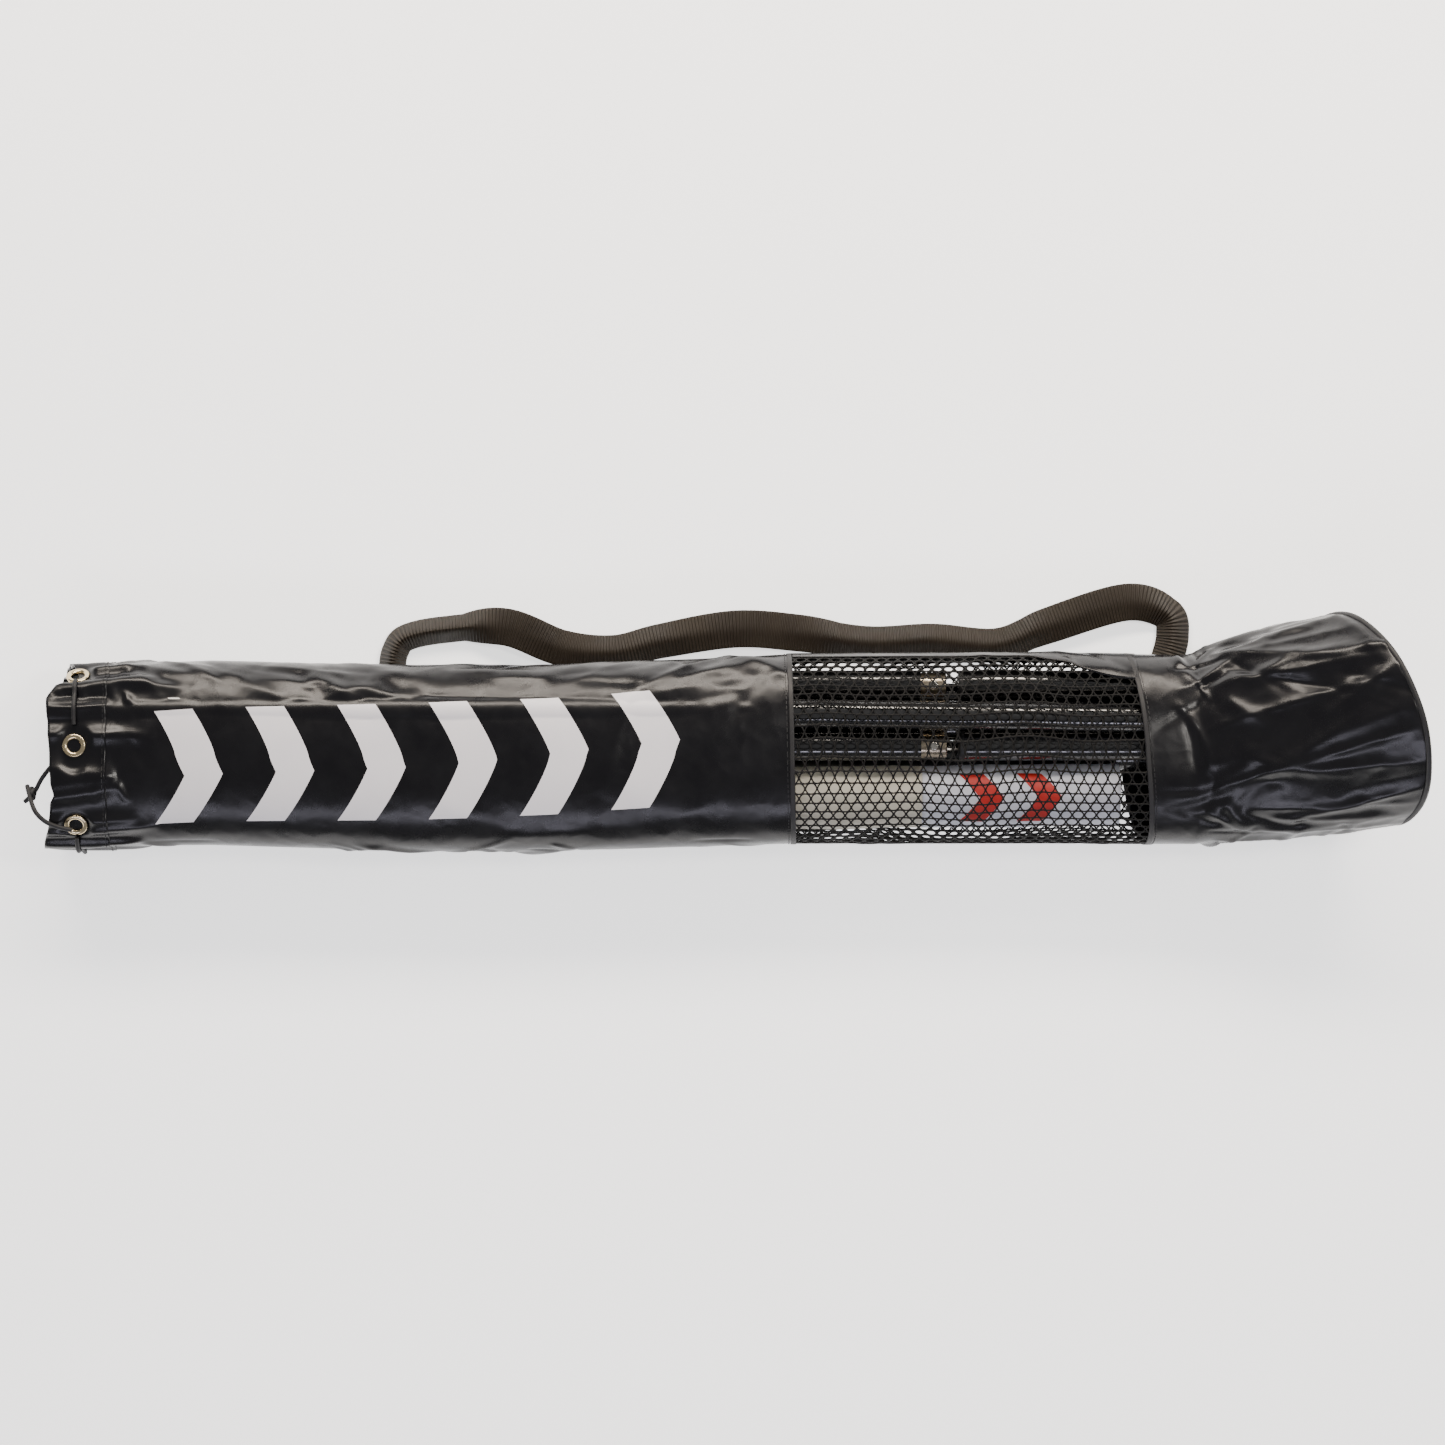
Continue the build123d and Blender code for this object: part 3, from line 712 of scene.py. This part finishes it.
    def make_base(self) -> None:
        """The round base panel, crowned by what lies against it, and the piping around it."""
        form = self.form
        rows, columns = 26, 160
        points = []
        random = np.random.default_rng(SEED + 1)
        phases = random.uniform(0, TAU, 2)
        for row in range(rows):
            radius = form.base_radius * row / (rows - 1)
            for column in range(columns):
                angle = column / columns * TAU
                share = row / (rows - 1)
                crown = 3.4 * (1 - share ** 2)
                crown += 0.5 * math.sin(3 * angle + phases[0]) * share * (1 - share) * 4
                crown += 0.35 * math.sin(7 * angle + phases[1] + 3 * share) * share * (1 - share) * 4
                point = (form.base_middle + form.base_normal * crown
                         + radius * (-math.sin(angle) * form.base_across + math.cos(angle) * form.base_up))
                points.append(point)
        points = np.array(points)
        piece = make_piece("base_panel_cloth", points, grid_faces(rows, columns, closed=True), COATED_NYLON,
                           replaces=["base_panel"],
                           uv=np.stack([(points - form.base_middle) @ form.base_across,
                                        (points - form.base_middle) @ form.base_up], axis=1))
        merge_points(piece)
        thicken(piece, 1.0)
        columns, sides = 200, 10
        points = []
        for column in range(columns):
            angle = column / columns * TAU
            out = -math.sin(angle) * form.base_across + math.cos(angle) * form.base_up
            middle = form.base_middle + out * (form.base_radius - 0.3 + 0.25 * math.sin(9 * angle))
            for turn in range(sides):
                around = turn / sides * TAU
                points.append(middle + 1.9 * (math.cos(around) * out + math.sin(around) * form.base_normal))
        points = np.array(points)
        points[:, 2] = np.maximum(points[:, 2], 0.1)
        make_piece("base_piping_cord", points, ring_faces(columns, sides), TAPE,
                   replaces=["base_piping"])

    def make(self) -> None:
        """Build the sleeves, hem, seam tapes, base and stitches of the bag's cloth."""
        self.make_sleeves()
        self.make_base()
        self.make_stitches("hem_stitches", straight_edge(self.form.hem_end + 3.5), 0.6)
        self.make_stitches("seam_front_stitches", self.seam_edge(False, -3.0), 0.1)
        self.make_stitches("seam_rear_stitches", self.seam_edge(True, 3.0), 0.1)


def merge_points(piece: bpy.types.Object, distance: float = 0.01) -> None:
    """Join points of a piece that lie within a distance in millimetres."""
    work = bmesh.new()
    work.from_mesh(piece.data)
    bmesh.ops.remove_doubles(work, verts=work.verts, dist=distance * MM)
    work.to_mesh(piece.data)
    work.free()


# ------------------------------------------------------------------ what is sewn to the bag
@dataclass
class NetWindow:
    """The hexagonal mesh between the two window seams, and the cloth strip that backs its far side."""

    form: BagForm
    bag: CarryBag
    along_cells: int = 31
    around_cells: int = 54
    thread: float = 1.5
    corners: int = 12

    def warp(self, along: Array, girth: Array) -> tuple[Array, Array]:
        """How the knitted holes are pulled about, in millimetres along and around."""
        return (0.9 * np.sin(along / 23 + girth / 31) + 0.6 * np.sin(girth / 14 + 1.3),
                0.8 * np.sin(along / 19 - girth / 27 + 0.7) + 0.5 * np.sin(along / 11))

    def make_net(self) -> None:
        """Every hole is a rounded hexagon, and the thread is what is left between them."""
        pitch = (self.form.window_end - self.form.window_start) / (self.along_cells - 1)
        row_pitch = GIRTH / self.around_cells
        outer_radius = pitch / math.sqrt(3)
        hole_radius = pitch / 2 - self.thread / 2
        turns = np.arange(self.corners) / self.corners * TAU
        sector = (turns + math.pi / 6 - math.pi / 2) % (math.pi / 3) - math.pi / 6
        outline = pitch / 2 / np.cos(sector)
        outline = np.where(np.abs(np.abs(sector) - math.pi / 6) < 1e-6, outer_radius, outline)
        flat, faces = [], []
        for row in range(self.around_cells):
            for cell in range(self.along_cells):
                middle = ((cell + 0.5 * (row % 2)) * pitch, row * row_pitch)
                base = len(flat) * self.corners
                for reach in (outline, 0.35 * outline * hole_radius / (pitch / 2) + 0.65 * hole_radius):
                    flat.append(np.stack([middle[0] + reach * np.cos(turns),
                                          middle[1] + reach * np.sin(turns)
                                          * row_pitch / (pitch * math.sqrt(3) / 2)], axis=1))
                for corner in range(self.corners):
                    after = (corner + 1) % self.corners
                    faces.append((base + corner, base + after, base + self.corners + after,
                                  base + self.corners + corner))
        cloth = np.concatenate(flat)
        around = cloth[:, 1] / GIRTH
        start, end = self.bag.seam(around, False), self.bag.seam(around, True)
        share = cloth[:, 0] / (pitch * (self.along_cells - 1))
        along = start + (end - start) * np.clip(share, -0.008, 1.008)
        # The pull fades towards the underside, where the count of the girth starts again.
        girth = self.form.girth(around)
        inside = np.clip(np.minimum(share, 1 - share) * 12, 0, 1)
        side = np.clip((160 - np.abs(girth)) / 30, 0, 1)
        pull = self.warp(along, girth)
        points = self.form.place(along + pull[0] * inside * side,
                                 around + pull[1] * inside * side / GIRTH, -0.4)
        piece = make_piece("mesh_window_net", points, faces, KNIT_MESH,
                           replaces=["mesh_window"])
        merge_points(piece)
        thicken(piece, 0.9, 0.0)

    def make_strip(self) -> None:
        """The plain strip on the far side, whose upper edge climbs towards the base."""
        steps, across = 150, 36
        along = np.linspace(self.form.window_start - 4, self.form.window_end + 6, steps)[:, None]
        climb = smooth((along - 184.0) / 75.0)
        share = np.linspace(0, 1, across)[None, :]
        around = 0.672 + (0.80 + 0.08 * climb - 0.672) * share
        along = np.broadcast_to(along, around.shape)
        points = self.form.place(along, around, 0.55)
        cloth = np.stack([along.ravel(), self.form.girth(around).ravel()], axis=1)
        piece = make_piece("spine_strip_cloth", points.reshape(-1, 3), grid_faces(steps, across),
                           COATED_NYLON, replaces=["spine_strip"], uv=cloth)
        thicken(piece, 0.6)

    def make(self) -> None:
        """Build the net and its strip."""
        self.make_net()
        self.make_strip()


@dataclass
class SleevePrint:
    """Six plain chevrons in white ink along the front sleeve."""

    form: BagForm
    count: int = 6
    start: float = -376.0
    end: float = -33.0
    tall: float = 61.0
    stroke: float = 25.0
    depth: float = 20.0
    # The row's middle round the bag at its start, and how far it drifts by its end.
    centre: float = 10.0
    drift: float = -15.0

    def make(self) -> None:
        """Lay the ink on the folded cloth."""
        pitch = (self.end - self.start - self.stroke - self.depth) / (self.count - 1)
        rows, columns = 81, 30
        for number in range(self.count):
            first = self.start + number * pitch
            high = np.linspace(-1, 1, rows)[:, None]
            across = np.linspace(0, 1, columns)[None, :]
            along = first + self.depth * (1 - np.abs(high)) + across * self.stroke
            centre = self.centre + self.drift * (along - self.start) / (self.end - self.start)
            girth = centre + high * self.tall / 2
            points = self.form.place(along, girth / GIRTH, INK_PROUD)
            cloth = np.stack([along.ravel(), girth.ravel()], axis=1)
            make_piece(f"sleeve_chevron_{number + 1}", points.reshape(-1, 3), grid_faces(rows, columns),
                       WHITE_INK, uv=cloth)


def lathe(profile: Sequence[tuple[float, float]], centre: Array, axis: Array,
          turns: int = 48) -> tuple[Array, list]:
    """Points and faces of a closed profile of (radius, height) turned round an axis."""
    axis = np.asarray(axis, float) / np.linalg.norm(axis)
    across = np.cross(axis, (1.0, 0.0, 0.0))
    across /= np.linalg.norm(across)
    other = np.cross(axis, across)
    ring = np.array(profile, float)
    points = []
    for turn in range(turns):
        angle = turn / turns * TAU
        out = math.cos(angle) * across + math.sin(angle) * other
        points.append(centre + ring[:, :1] * out + ring[:, 1:] * axis)
    count = len(ring)
    faces = [(t * count + i, t * count + (i + 1) % count, ((t + 1) % turns) * count + (i + 1) % count,
              ((t + 1) % turns) * count + i) for t in range(turns) for i in range(count)]
    return np.concatenate(points), faces


def cord_curve(name: str, routes: Sequence[Sequence[Sequence[float]]], radius: float,
               finish: Finish, replaces: Sequence[str]) -> bpy.types.Object:
    """A round cord whose control points are the routes, in metres."""
    curve = bpy.data.curves.new(name, "CURVE")
    curve.dimensions = "3D"
    curve.bevel_depth = radius
    curve.bevel_resolution = 4
    curve.resolution_u = 12
    curve.use_fill_caps = True
    for route in routes:
        spline = curve.splines.new("NURBS")
        spline.points.add(len(route) - 1)
        for point, place in zip(spline.points, route):
            point.co = (*place, 1.0)
        spline.order_u = 3
        spline.use_endpoint_u = True
    piece = bpy.data.objects.new(name, curve)
    bpy.context.scene.collection.objects.link(piece)
    curve.materials.append(finish.material())
    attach(piece, BAG)
    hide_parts(*replaces)
    return piece


class Drawstring:
    """The cord through the hem: its two free ends, their knot, the stretches and the grommets."""

    RADIUS = 0.0015
    UPPER = ((-0.428, -0.0185, 0.0722), (-0.440, -0.028, 0.072), (-0.4505, -0.040, 0.0705),
             (-0.4555, -0.050, 0.065), (-0.4625, -0.0555, 0.062))
    LOWER = ((-0.430, -0.0739, 0.073), (-0.443, -0.0715, 0.074), (-0.453, -0.0635, 0.0775),
             (-0.4575, -0.0535, 0.072), (-0.4605, -0.045, 0.065))
    KNOT = (-457.0, -50.0, 66.2)
    # Where each grommet sits on the hem: its Y and Z.
    GROMMETS = ((-18.5, 77.0), (-70.9, 69.0), (-78.0, 20.8), (-29.5, 5.0), (22.9, 13.0), (30.0, 61.2))
    GROMMET_ALONG = -428.0

    def __init__(self) -> None:
        """Start with no grommet placed."""
        self.places: list[float] = []

    def make_knot(self) -> bpy.types.Object:
        """The overhand knot that both free ends run into, as a trefoil of cord."""
        steps, sides, tube, spread = 120, 10, 1.35, 1.18
        turn = np.arange(steps) / steps * TAU
        reach = 2 + np.cos(3 * turn)
        line = np.stack([reach * np.cos(2 * turn), reach * np.sin(2 * turn), 1.1 * np.sin(3 * turn)],
                        axis=1) * spread
        ahead = np.roll(line, -1, axis=0) - np.roll(line, 1, axis=0)
        ahead /= np.linalg.norm(ahead, axis=1, keepdims=True)
        across = np.cross(ahead, (0.31, 0.22, 0.93))
        across /= np.linalg.norm(across, axis=1, keepdims=True)
        other = np.cross(ahead, across)
        round_tube = np.arange(sides) / sides * TAU
        points = (line[:, None] + tube * (np.cos(round_tube)[None, :, None] * across[:, None]
                                          + np.sin(round_tube)[None, :, None] * other[:, None]))
        points = points.reshape(-1, 3)[:, [2, 1, 0]] + np.array(self.KNOT)
        return make_piece("drawstring_overhand_knot", points, ring_faces(steps, sides), BRAID,
                          replaces=["drawstring_knot"])

    def make_ends(self) -> None:
        """The free ends, and the knot that they share."""
        upper = cord_curve("drawstring_end_upper", [self.UPPER], self.RADIUS, BRAID,
                           ["drawstring_tail_upper"])
        lower = cord_curve("drawstring_end_lower", [self.LOWER], self.RADIUS, BRAID,
                           ["drawstring_tail_lower"])
        knot = self.make_knot()

    def find_around(self, form: BagForm, place: tuple[float, float]) -> float:
        """The share of the girth whose cloth lies nearest a Y and Z at the grommets' row."""
        around = np.linspace(0, 1, 1441)
        shell = form.shell(self.GROMMET_ALONG, around)
        return float(around[np.argmin(np.hypot(shell[:, 1] - place[0], shell[:, 2] - place[1]))])

    def settle(self, form: BagForm) -> None:
        """Find the grommets' places on the cloth and hold the cloth flat there."""
        self.places = [self.find_around(form, place) for place in self.GROMMETS]
        form.flats = [(self.GROMMET_ALONG, float(form.girth(place))) for place in self.places]

    def make_hardware(self, form: BagForm) -> None:
        """Stamped grommets, each rolled over the cloth on both sides."""
        profile = ((7.75, 0.2), (7.6, 0.8), (7.0, 1.15), (5.9, 1.2), (4.9, 0.9), (4.3, 0.2), (4.2, -1.6),
                   (4.5, -2.2), (6.8, -2.2), (7.0, -1.9), (6.8, -1.6), (4.9, -1.6), (4.9, 0.1))
        points, faces = [], []
        for around in self.places:
            centre = form.place(np.array([self.GROMMET_ALONG]), np.array([around]), 0.9)[0]
            axis = form.normal(np.array([self.GROMMET_ALONG]), np.array([around]))[0]
            ring, ring_faces = lathe(profile, centre, axis)
            shift = sum(len(p) for p in points)
            points.append(ring)
            faces += [tuple(i + shift for i in face) for face in ring_faces]
        make_piece("mouth_grommets", np.concatenate(points), faces, NICKEL,
                   replaces=["grommet_flanges", "grommet_washers"])

    def make_stretches(self, form: BagForm) -> None:
        """The cord between neighbouring grommets, by turns outside and inside the hem."""
        places = sorted((place + 0.5) % 1.0 for place in self.places)
        routes = []
        for number, (here, there) in enumerate(zip(places, places[1:])):
            gap = 11.0 / GIRTH
            around = (np.linspace(here + gap, there - gap, 7) + 0.5) % 1.0
            lift = 2.6 if number % 2 else -3.4
            route = form.place(np.full(7, self.GROMMET_ALONG), around, lift)
            route[:, 2] = np.maximum(route[:, 2], 1.8)
            routes.append([tuple(float(v) * MM for v in point) for point in route])
        cord_curve("drawstring_stretches", routes, self.RADIUS, BRAID, ["drawstring"])


class CarryStrap:
    """The woven webbing strap, sewn to the bag at both ends and lying low in three humps beside it."""

    WIDTH = 25.0
    THICK = 1.6
    RIDGE_LEFT, RIDGE_RIGHT, LOWEST = 11.0, 8.4, 1.8
    # X and Y of its middle line, and how far it is cupped about that line in degrees: 0 lies flat.
    ROUTE = ((-226.0, 33.5, 66), (-224.0, 44.0, 64), (-216.5, 53.1, 52), (-191.7, 58.4, 66),
             (-150.1, 60.1, 6), (-112.5, 46.2, 18), (-78.2, 43.6, 30), (-46.5, 50.8, 26), (3.0, 58.7, 10),
             (45.9, 56.1, 12), (92.1, 49.8, 48), (135.0, 51.5, 68), (177.9, 48.5, 58),
             (210.9, 60.7, 20), (263.7, 76.6, 10), (291.4, 69.3, 34), (295.4, 54.1, 60),
             (291.0, 36.0, 68))
    PATCHES = ((-226.0, "left"), (290.0, "right"))

    def line(self, steps: int) -> Array:
        """The route as a smooth line of steps points, each with its turn."""
        knots = np.array(self.ROUTE, float)
        padded = np.concatenate([knots[:1], knots, knots[-1:]])
        spans = len(knots) - 1
        share = np.linspace(0, spans - 1e-6, steps)
        span, t = share.astype(int), (share % 1)[:, None]
        p0, p1, p2, p3 = (padded[span + k] for k in range(4))
        return 0.5 * (2 * p1 + (p2 - p0) * t + (2 * p0 - 5 * p1 + 4 * p2 - p3) * t ** 2
                      + (3 * p1 - p0 - 3 * p2 + p3) * t ** 3)

    def make(self, form: BagForm) -> None:
        """Build the strap and the two patches that hold it."""
        steps, across = 520, 15
        line = self.line(steps)
        ahead = np.gradient(line[:, :2], axis=0)
        ahead /= np.linalg.norm(ahead, axis=1, keepdims=True)
        aside = np.stack([-ahead[:, 1], ahead[:, 0], np.zeros(steps)], axis=1)
        # The webbing cups along its middle. Its ridge stays low, so that it clears the bag as it lifts.
        ridge = self.RIDGE_LEFT + (self.RIDGE_RIGHT - self.RIDGE_LEFT) * smooth(line[:, 0] / 40.0)
        steepest = np.arcsin((ridge - self.LOWEST) / (self.WIDTH / 2))
        turn = np.minimum(np.radians(line[:, 2]), steepest)
        middle = np.stack([line[:, 0], line[:, 1], ridge], axis=1)
        share = np.linspace(-0.5, 0.5, across)
        sag = np.hypot(share, 0.08) - 0.08
        flat = share[None, :] * np.cos(turn)[:, None] * self.WIDTH
        drop = sag[None, :] * np.sin(turn)[:, None] * self.WIDTH
        points = middle[:, None] + flat[..., None] * aside[:, None]
        points[..., 2] -= drop
        run = np.concatenate([[0], np.cumsum(np.linalg.norm(np.diff(middle, axis=0), axis=1))])
        cloth = np.stack([np.repeat(run, across), np.tile(share * self.WIDTH, steps)], axis=1)
        piece = make_piece("carry_strap_webbing", points.reshape(-1, 3), grid_faces(steps, across), WEBBING,
                           body="strap", replaces=["carry_strap"], uv=cloth)
        thicken(piece, self.THICK, 0.0)
        bevel_edges(piece, 0.35)
        for middle_x, side in self.PATCHES:
            rows, columns = 28, 24
            along = np.linspace(middle_x - 13.5, middle_x + 13.5, rows)[:, None]
            around = np.broadcast_to(np.linspace(0.59, 0.708, columns)[None, :], (rows, columns))
            along = np.broadcast_to(along, around.shape)
            cloth = np.stack([form.girth(around).ravel(), along.ravel()], axis=1)
            patch = make_piece(f"strap_patch_{side}_webbing", form.place(along, around, 1.3).reshape(-1, 3),
                               grid_faces(rows, columns), WEBBING,
                               replaces=[f"strap_patch_{side}"], uv=cloth)
            thicken(patch, 1.2)


class NetBundle:
    """The sports net, rolled up, with its bands outermost and two ties."""

    BODY = "net"
    RADIUS = 20.5
    WRAP, WRAP_THICK, MARK = 1.0, 0.8, 1.25

    def __init__(self) -> None:
        """Read where the roll lies."""
        low, high = node_box("net_roll")
        self.start, self.end = low[0], high[0]
        self.height = (low[2] + high[2]) / 2
        self.phase = np.random.default_rng(SEED + 2).uniform(0, TAU, 4)

    def axis(self, along: Array) -> Array:
        """Y of the roll's middle at each place along it."""
        return -56.5 + 5.5 * (along - self.start) / (self.end - self.start)

    def lumps(self, along: Array, angle: Array) -> Array:
        """How uneven the roll is, always inwards from its full radius."""
        wave = (np.sin(along / 17 + 2 * angle + self.phase[0])
                + np.sin(along / 9 - 3 * angle + self.phase[1])
                + 0.7 * np.sin(along / 31 + angle + self.phase[2]) + 0.5 * np.sin(5 * angle + self.phase[3]))
        return 0.28 * (wave - 3.2)

    def surface(self, along: Array, angle: Array, radius: float) -> Array:
        """Points of a layer of the roll; angle 0 faces up."""
        along, angle = np.broadcast_arrays(np.asarray(along, float), np.asarray(angle, float))
        reach = radius + self.lumps(along, angle)
        return np.stack([along, self.axis(along) - reach * np.sin(angle),
                         self.height + reach * np.cos(angle)], axis=-1)

    def wrap(self, name: str, node: str, finish: Finish) -> None:
        """A band wound round the roll, over the length of its CAD node."""
        radius = self.RADIUS + self.WRAP
        low, high = node_box(node)
        rows, columns = max(12, int((high[0] - low[0]) / 2.5)), 96
        along = np.linspace(low[0], high[0], rows)[:, None]
        angle = (np.arange(columns) / columns * TAU)[None, :]
        along = np.broadcast_to(along, (rows, columns))
        angle = np.broadcast_to(angle, along.shape)
        cloth = np.stack([along.ravel(), angle.ravel() * radius], axis=1)
        piece = make_piece(name, self.surface(along, angle, radius).reshape(-1, 3),
                           grid_faces(rows, columns, closed=True), finish, body=self.BODY,
                           replaces=[node], uv=cloth)
        thicken(piece, self.WRAP_THICK)

    def make_roll(self) -> None:
        """The rolled netting, its ends wound in a spiral."""
        rows, columns, rings = 170, 96, 28
        angle = np.arange(columns) / columns * TAU
        body = self.surface(np.linspace(self.start, self.end, rows)[:, None], angle[None, :], self.RADIUS)
        caps = []
        for place, out in ((self.start, 1.0), (self.end, -1.0)):
            reach = np.linspace(1, 0.02, rings)[1:, None]
            rim = self.surface(place, angle, self.RADIUS)
            centre = np.array([place, self.axis(place), self.height])
            cap = centre + (rim - centre)[None] * reach[..., None]
            winding = np.sin(reach * 34 + angle[None, :])
            cap[..., 0] += out * (0.9 + 0.8 * winding) * (reach < 0.97)
            caps.append(cap)
        points = np.concatenate([caps[0][::-1], body, caps[1]])
        count = len(points)
        cloth = np.stack([points[..., 0].ravel(), np.tile(angle * self.RADIUS, count)], axis=1)
        faces = grid_faces(count, columns, closed=True)
        faces += [tuple(range(columns)), tuple(range((count - 1) * columns, count * columns))[::-1]]
        make_piece("rolled_net", points.reshape(-1, 3), faces, NET_TWINE, body=self.BODY,
                   replaces=["net_roll"], uv=cloth)

    def make_marks(self) -> None:
        """Two plain red chevrons on the white band."""
        rows, columns = 41, 16
        for number, first in enumerate((150.0, 188.0)):
            high = np.linspace(-1, 1, rows)[:, None]
            across = np.linspace(0, 1, columns)[None, :]
            along = first + 14.0 * (1 - np.abs(high)) + across * 16.0
            angle = np.broadcast_to(0.05 + high * 0.86, along.shape)
            cloth = np.stack([along.ravel(), angle.ravel() * self.RADIUS], axis=1)
            make_piece(f"headband_chevron_{number + 1}",
                       self.surface(along, angle, self.RADIUS + self.MARK).reshape(-1, 3),
                       grid_faces(rows, columns), RED_INK, body=self.BODY, uv=cloth)

    def make(self) -> None:
        """Build the roll, its bands, marks and ties."""
        self.make_roll()
        self.wrap("headband_cloth", "headband_wrap", BAND_WHITE)
        self.wrap("side_band_cloth", "side_band_wrap", BAND_CREAM)
        for number in (1, 2):
            self.wrap(f"roll_tie_{number}_tape", f"roll_tie_{number}", HOOK_LOOP)
        self.make_marks()


class FrameTubes:
    """The steel kit keeps its CAD shape and takes its real finishes."""

    FINISHES = (("_ferrule", ZINC_STEEL), ("_plug", PLUG), ("_button", BUTTON), ("", POWDER_BLACK))

    def dress(self) -> None:
        """Give every tube, ferrule, plug and button its finish."""
        for name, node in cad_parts.items():
            if not name.startswith(("base_bar", "post_", "foot_tube")):
                continue
            finish = next(made for ending, made in self.FINISHES if name.endswith(ending))
            if not node.material_slots:
                node.data.materials.append(finish.material())
            for holder in node.material_slots:
                holder.material = finish.material()


class Studio:
    """The pale floor, soft lights and the camera straight above."""

    SENSOR, LENS = 36.0, 111.7
    CAMERA_PLACE = (-0.0053, -0.0036, 3.0)
    AIM = (0.0, 0.0, 0.04)
    FLOOR_REACH = 12.0
    FLOOR_GLOW, SKY_GLOW = 1.3, 0.32

    def make_camera(self) -> None:
        """A long lens above the bag's middle."""
        lens = bpy.data.cameras.new("camera_above")
        lens.sensor_width, lens.lens = self.SENSOR, self.LENS
        camera = bpy.data.objects.new("camera_above", lens)
        camera.location = self.CAMERA_PLACE
        bpy.context.scene.collection.objects.link(camera)
        bpy.context.scene.camera = camera

    def add_light(self, name: str, place: Sequence[float], size: tuple[float, float], power: float,
                  colour: tuple[float, float, float]) -> None:
        """A softbox that faces the bag."""
        lamp = bpy.data.lights.new(name, "AREA")
        lamp.shape, lamp.size, lamp.size_y = "RECTANGLE", *size
        lamp.energy, lamp.color = power, colour
        holder = bpy.data.objects.new(name, lamp)
        holder.location = place
        towards = Vector(self.AIM) - Vector(place)
        holder.rotation_euler = towards.to_track_quat("-Z", "Y").to_euler()
        bpy.context.scene.collection.objects.link(holder)

    def make(self) -> None:
        """Floor, lights and world."""
        mesh = bpy.data.meshes.new("floor")
        reach = self.FLOOR_REACH
        corners = [(-reach, -reach, 0), (reach, -reach, 0), (reach, reach, 0), (-reach, reach, 0)]
        mesh.from_pydata(corners, [], [(0, 1, 2, 3)])
        floor = bpy.data.objects.new("floor", mesh)
        bpy.context.scene.collection.objects.link(floor)
        paper = bpy.data.materials.new("floor_paper_matt")
        paper.use_nodes = True
        shader = paper.node_tree.nodes["Principled BSDF"]
        shader.inputs["Base Color"].default_value = linear("#FFFFFF")
        shader.inputs["Roughness"].default_value = 0.9
        # Paper lit evenly from below, as on a light table, so the cloth above it stays dark.
        shader.inputs["Emission Color"].default_value = (1, 1, 1, 1)
        shader.inputs["Emission Strength"].default_value = self.FLOOR_GLOW
        mesh.materials.append(paper)
        self.add_light("softbox_far", (0.1, 1.5, 1.1), (2.4, 0.4), 68.0, (1.0, 0.9, 0.79))
        self.add_light("softbox_near", (-0.2, -1.5, 1.5), (2.0, 0.3), 14.0, (0.86, 0.84, 1.0))
        self.add_light("softbox_top", (0.9, 0.3, 1.9), (0.35, 0.35), 14.0, (1.0, 0.96, 0.9))
        world = bpy.data.worlds.new("studio")
        world.use_nodes = True
        sky = world.node_tree.nodes["Background"]
        sky.inputs["Color"].default_value = (1, 1, 1, 1)
        sky.inputs["Strength"].default_value = self.SKY_GLOW
        bpy.context.scene.world = world


def main() -> None:
    logging.basicConfig(level=logging.INFO, format="%(name)s: %(message)s")
    studio = Studio()
    studio.make_camera()
    drawstring = Drawstring()
    drawstring.make_ends()
    creaser = Creaser()
    form = BagForm(folds=creaser.front() + creaser.mouth_pleats() + creaser.rear() + creaser.window())
    drawstring.settle(form)
    bag = CarryBag(form)
    bag.make()
    NetWindow(form, bag).make()
    SleevePrint(form).make()
    drawstring.make_hardware(form)
    drawstring.make_stretches(form)
    CarryStrap().make(form)
    NetBundle().make()
    FrameTubes().dress()
    studio.make()


if __name__ == "__main__":
    main()
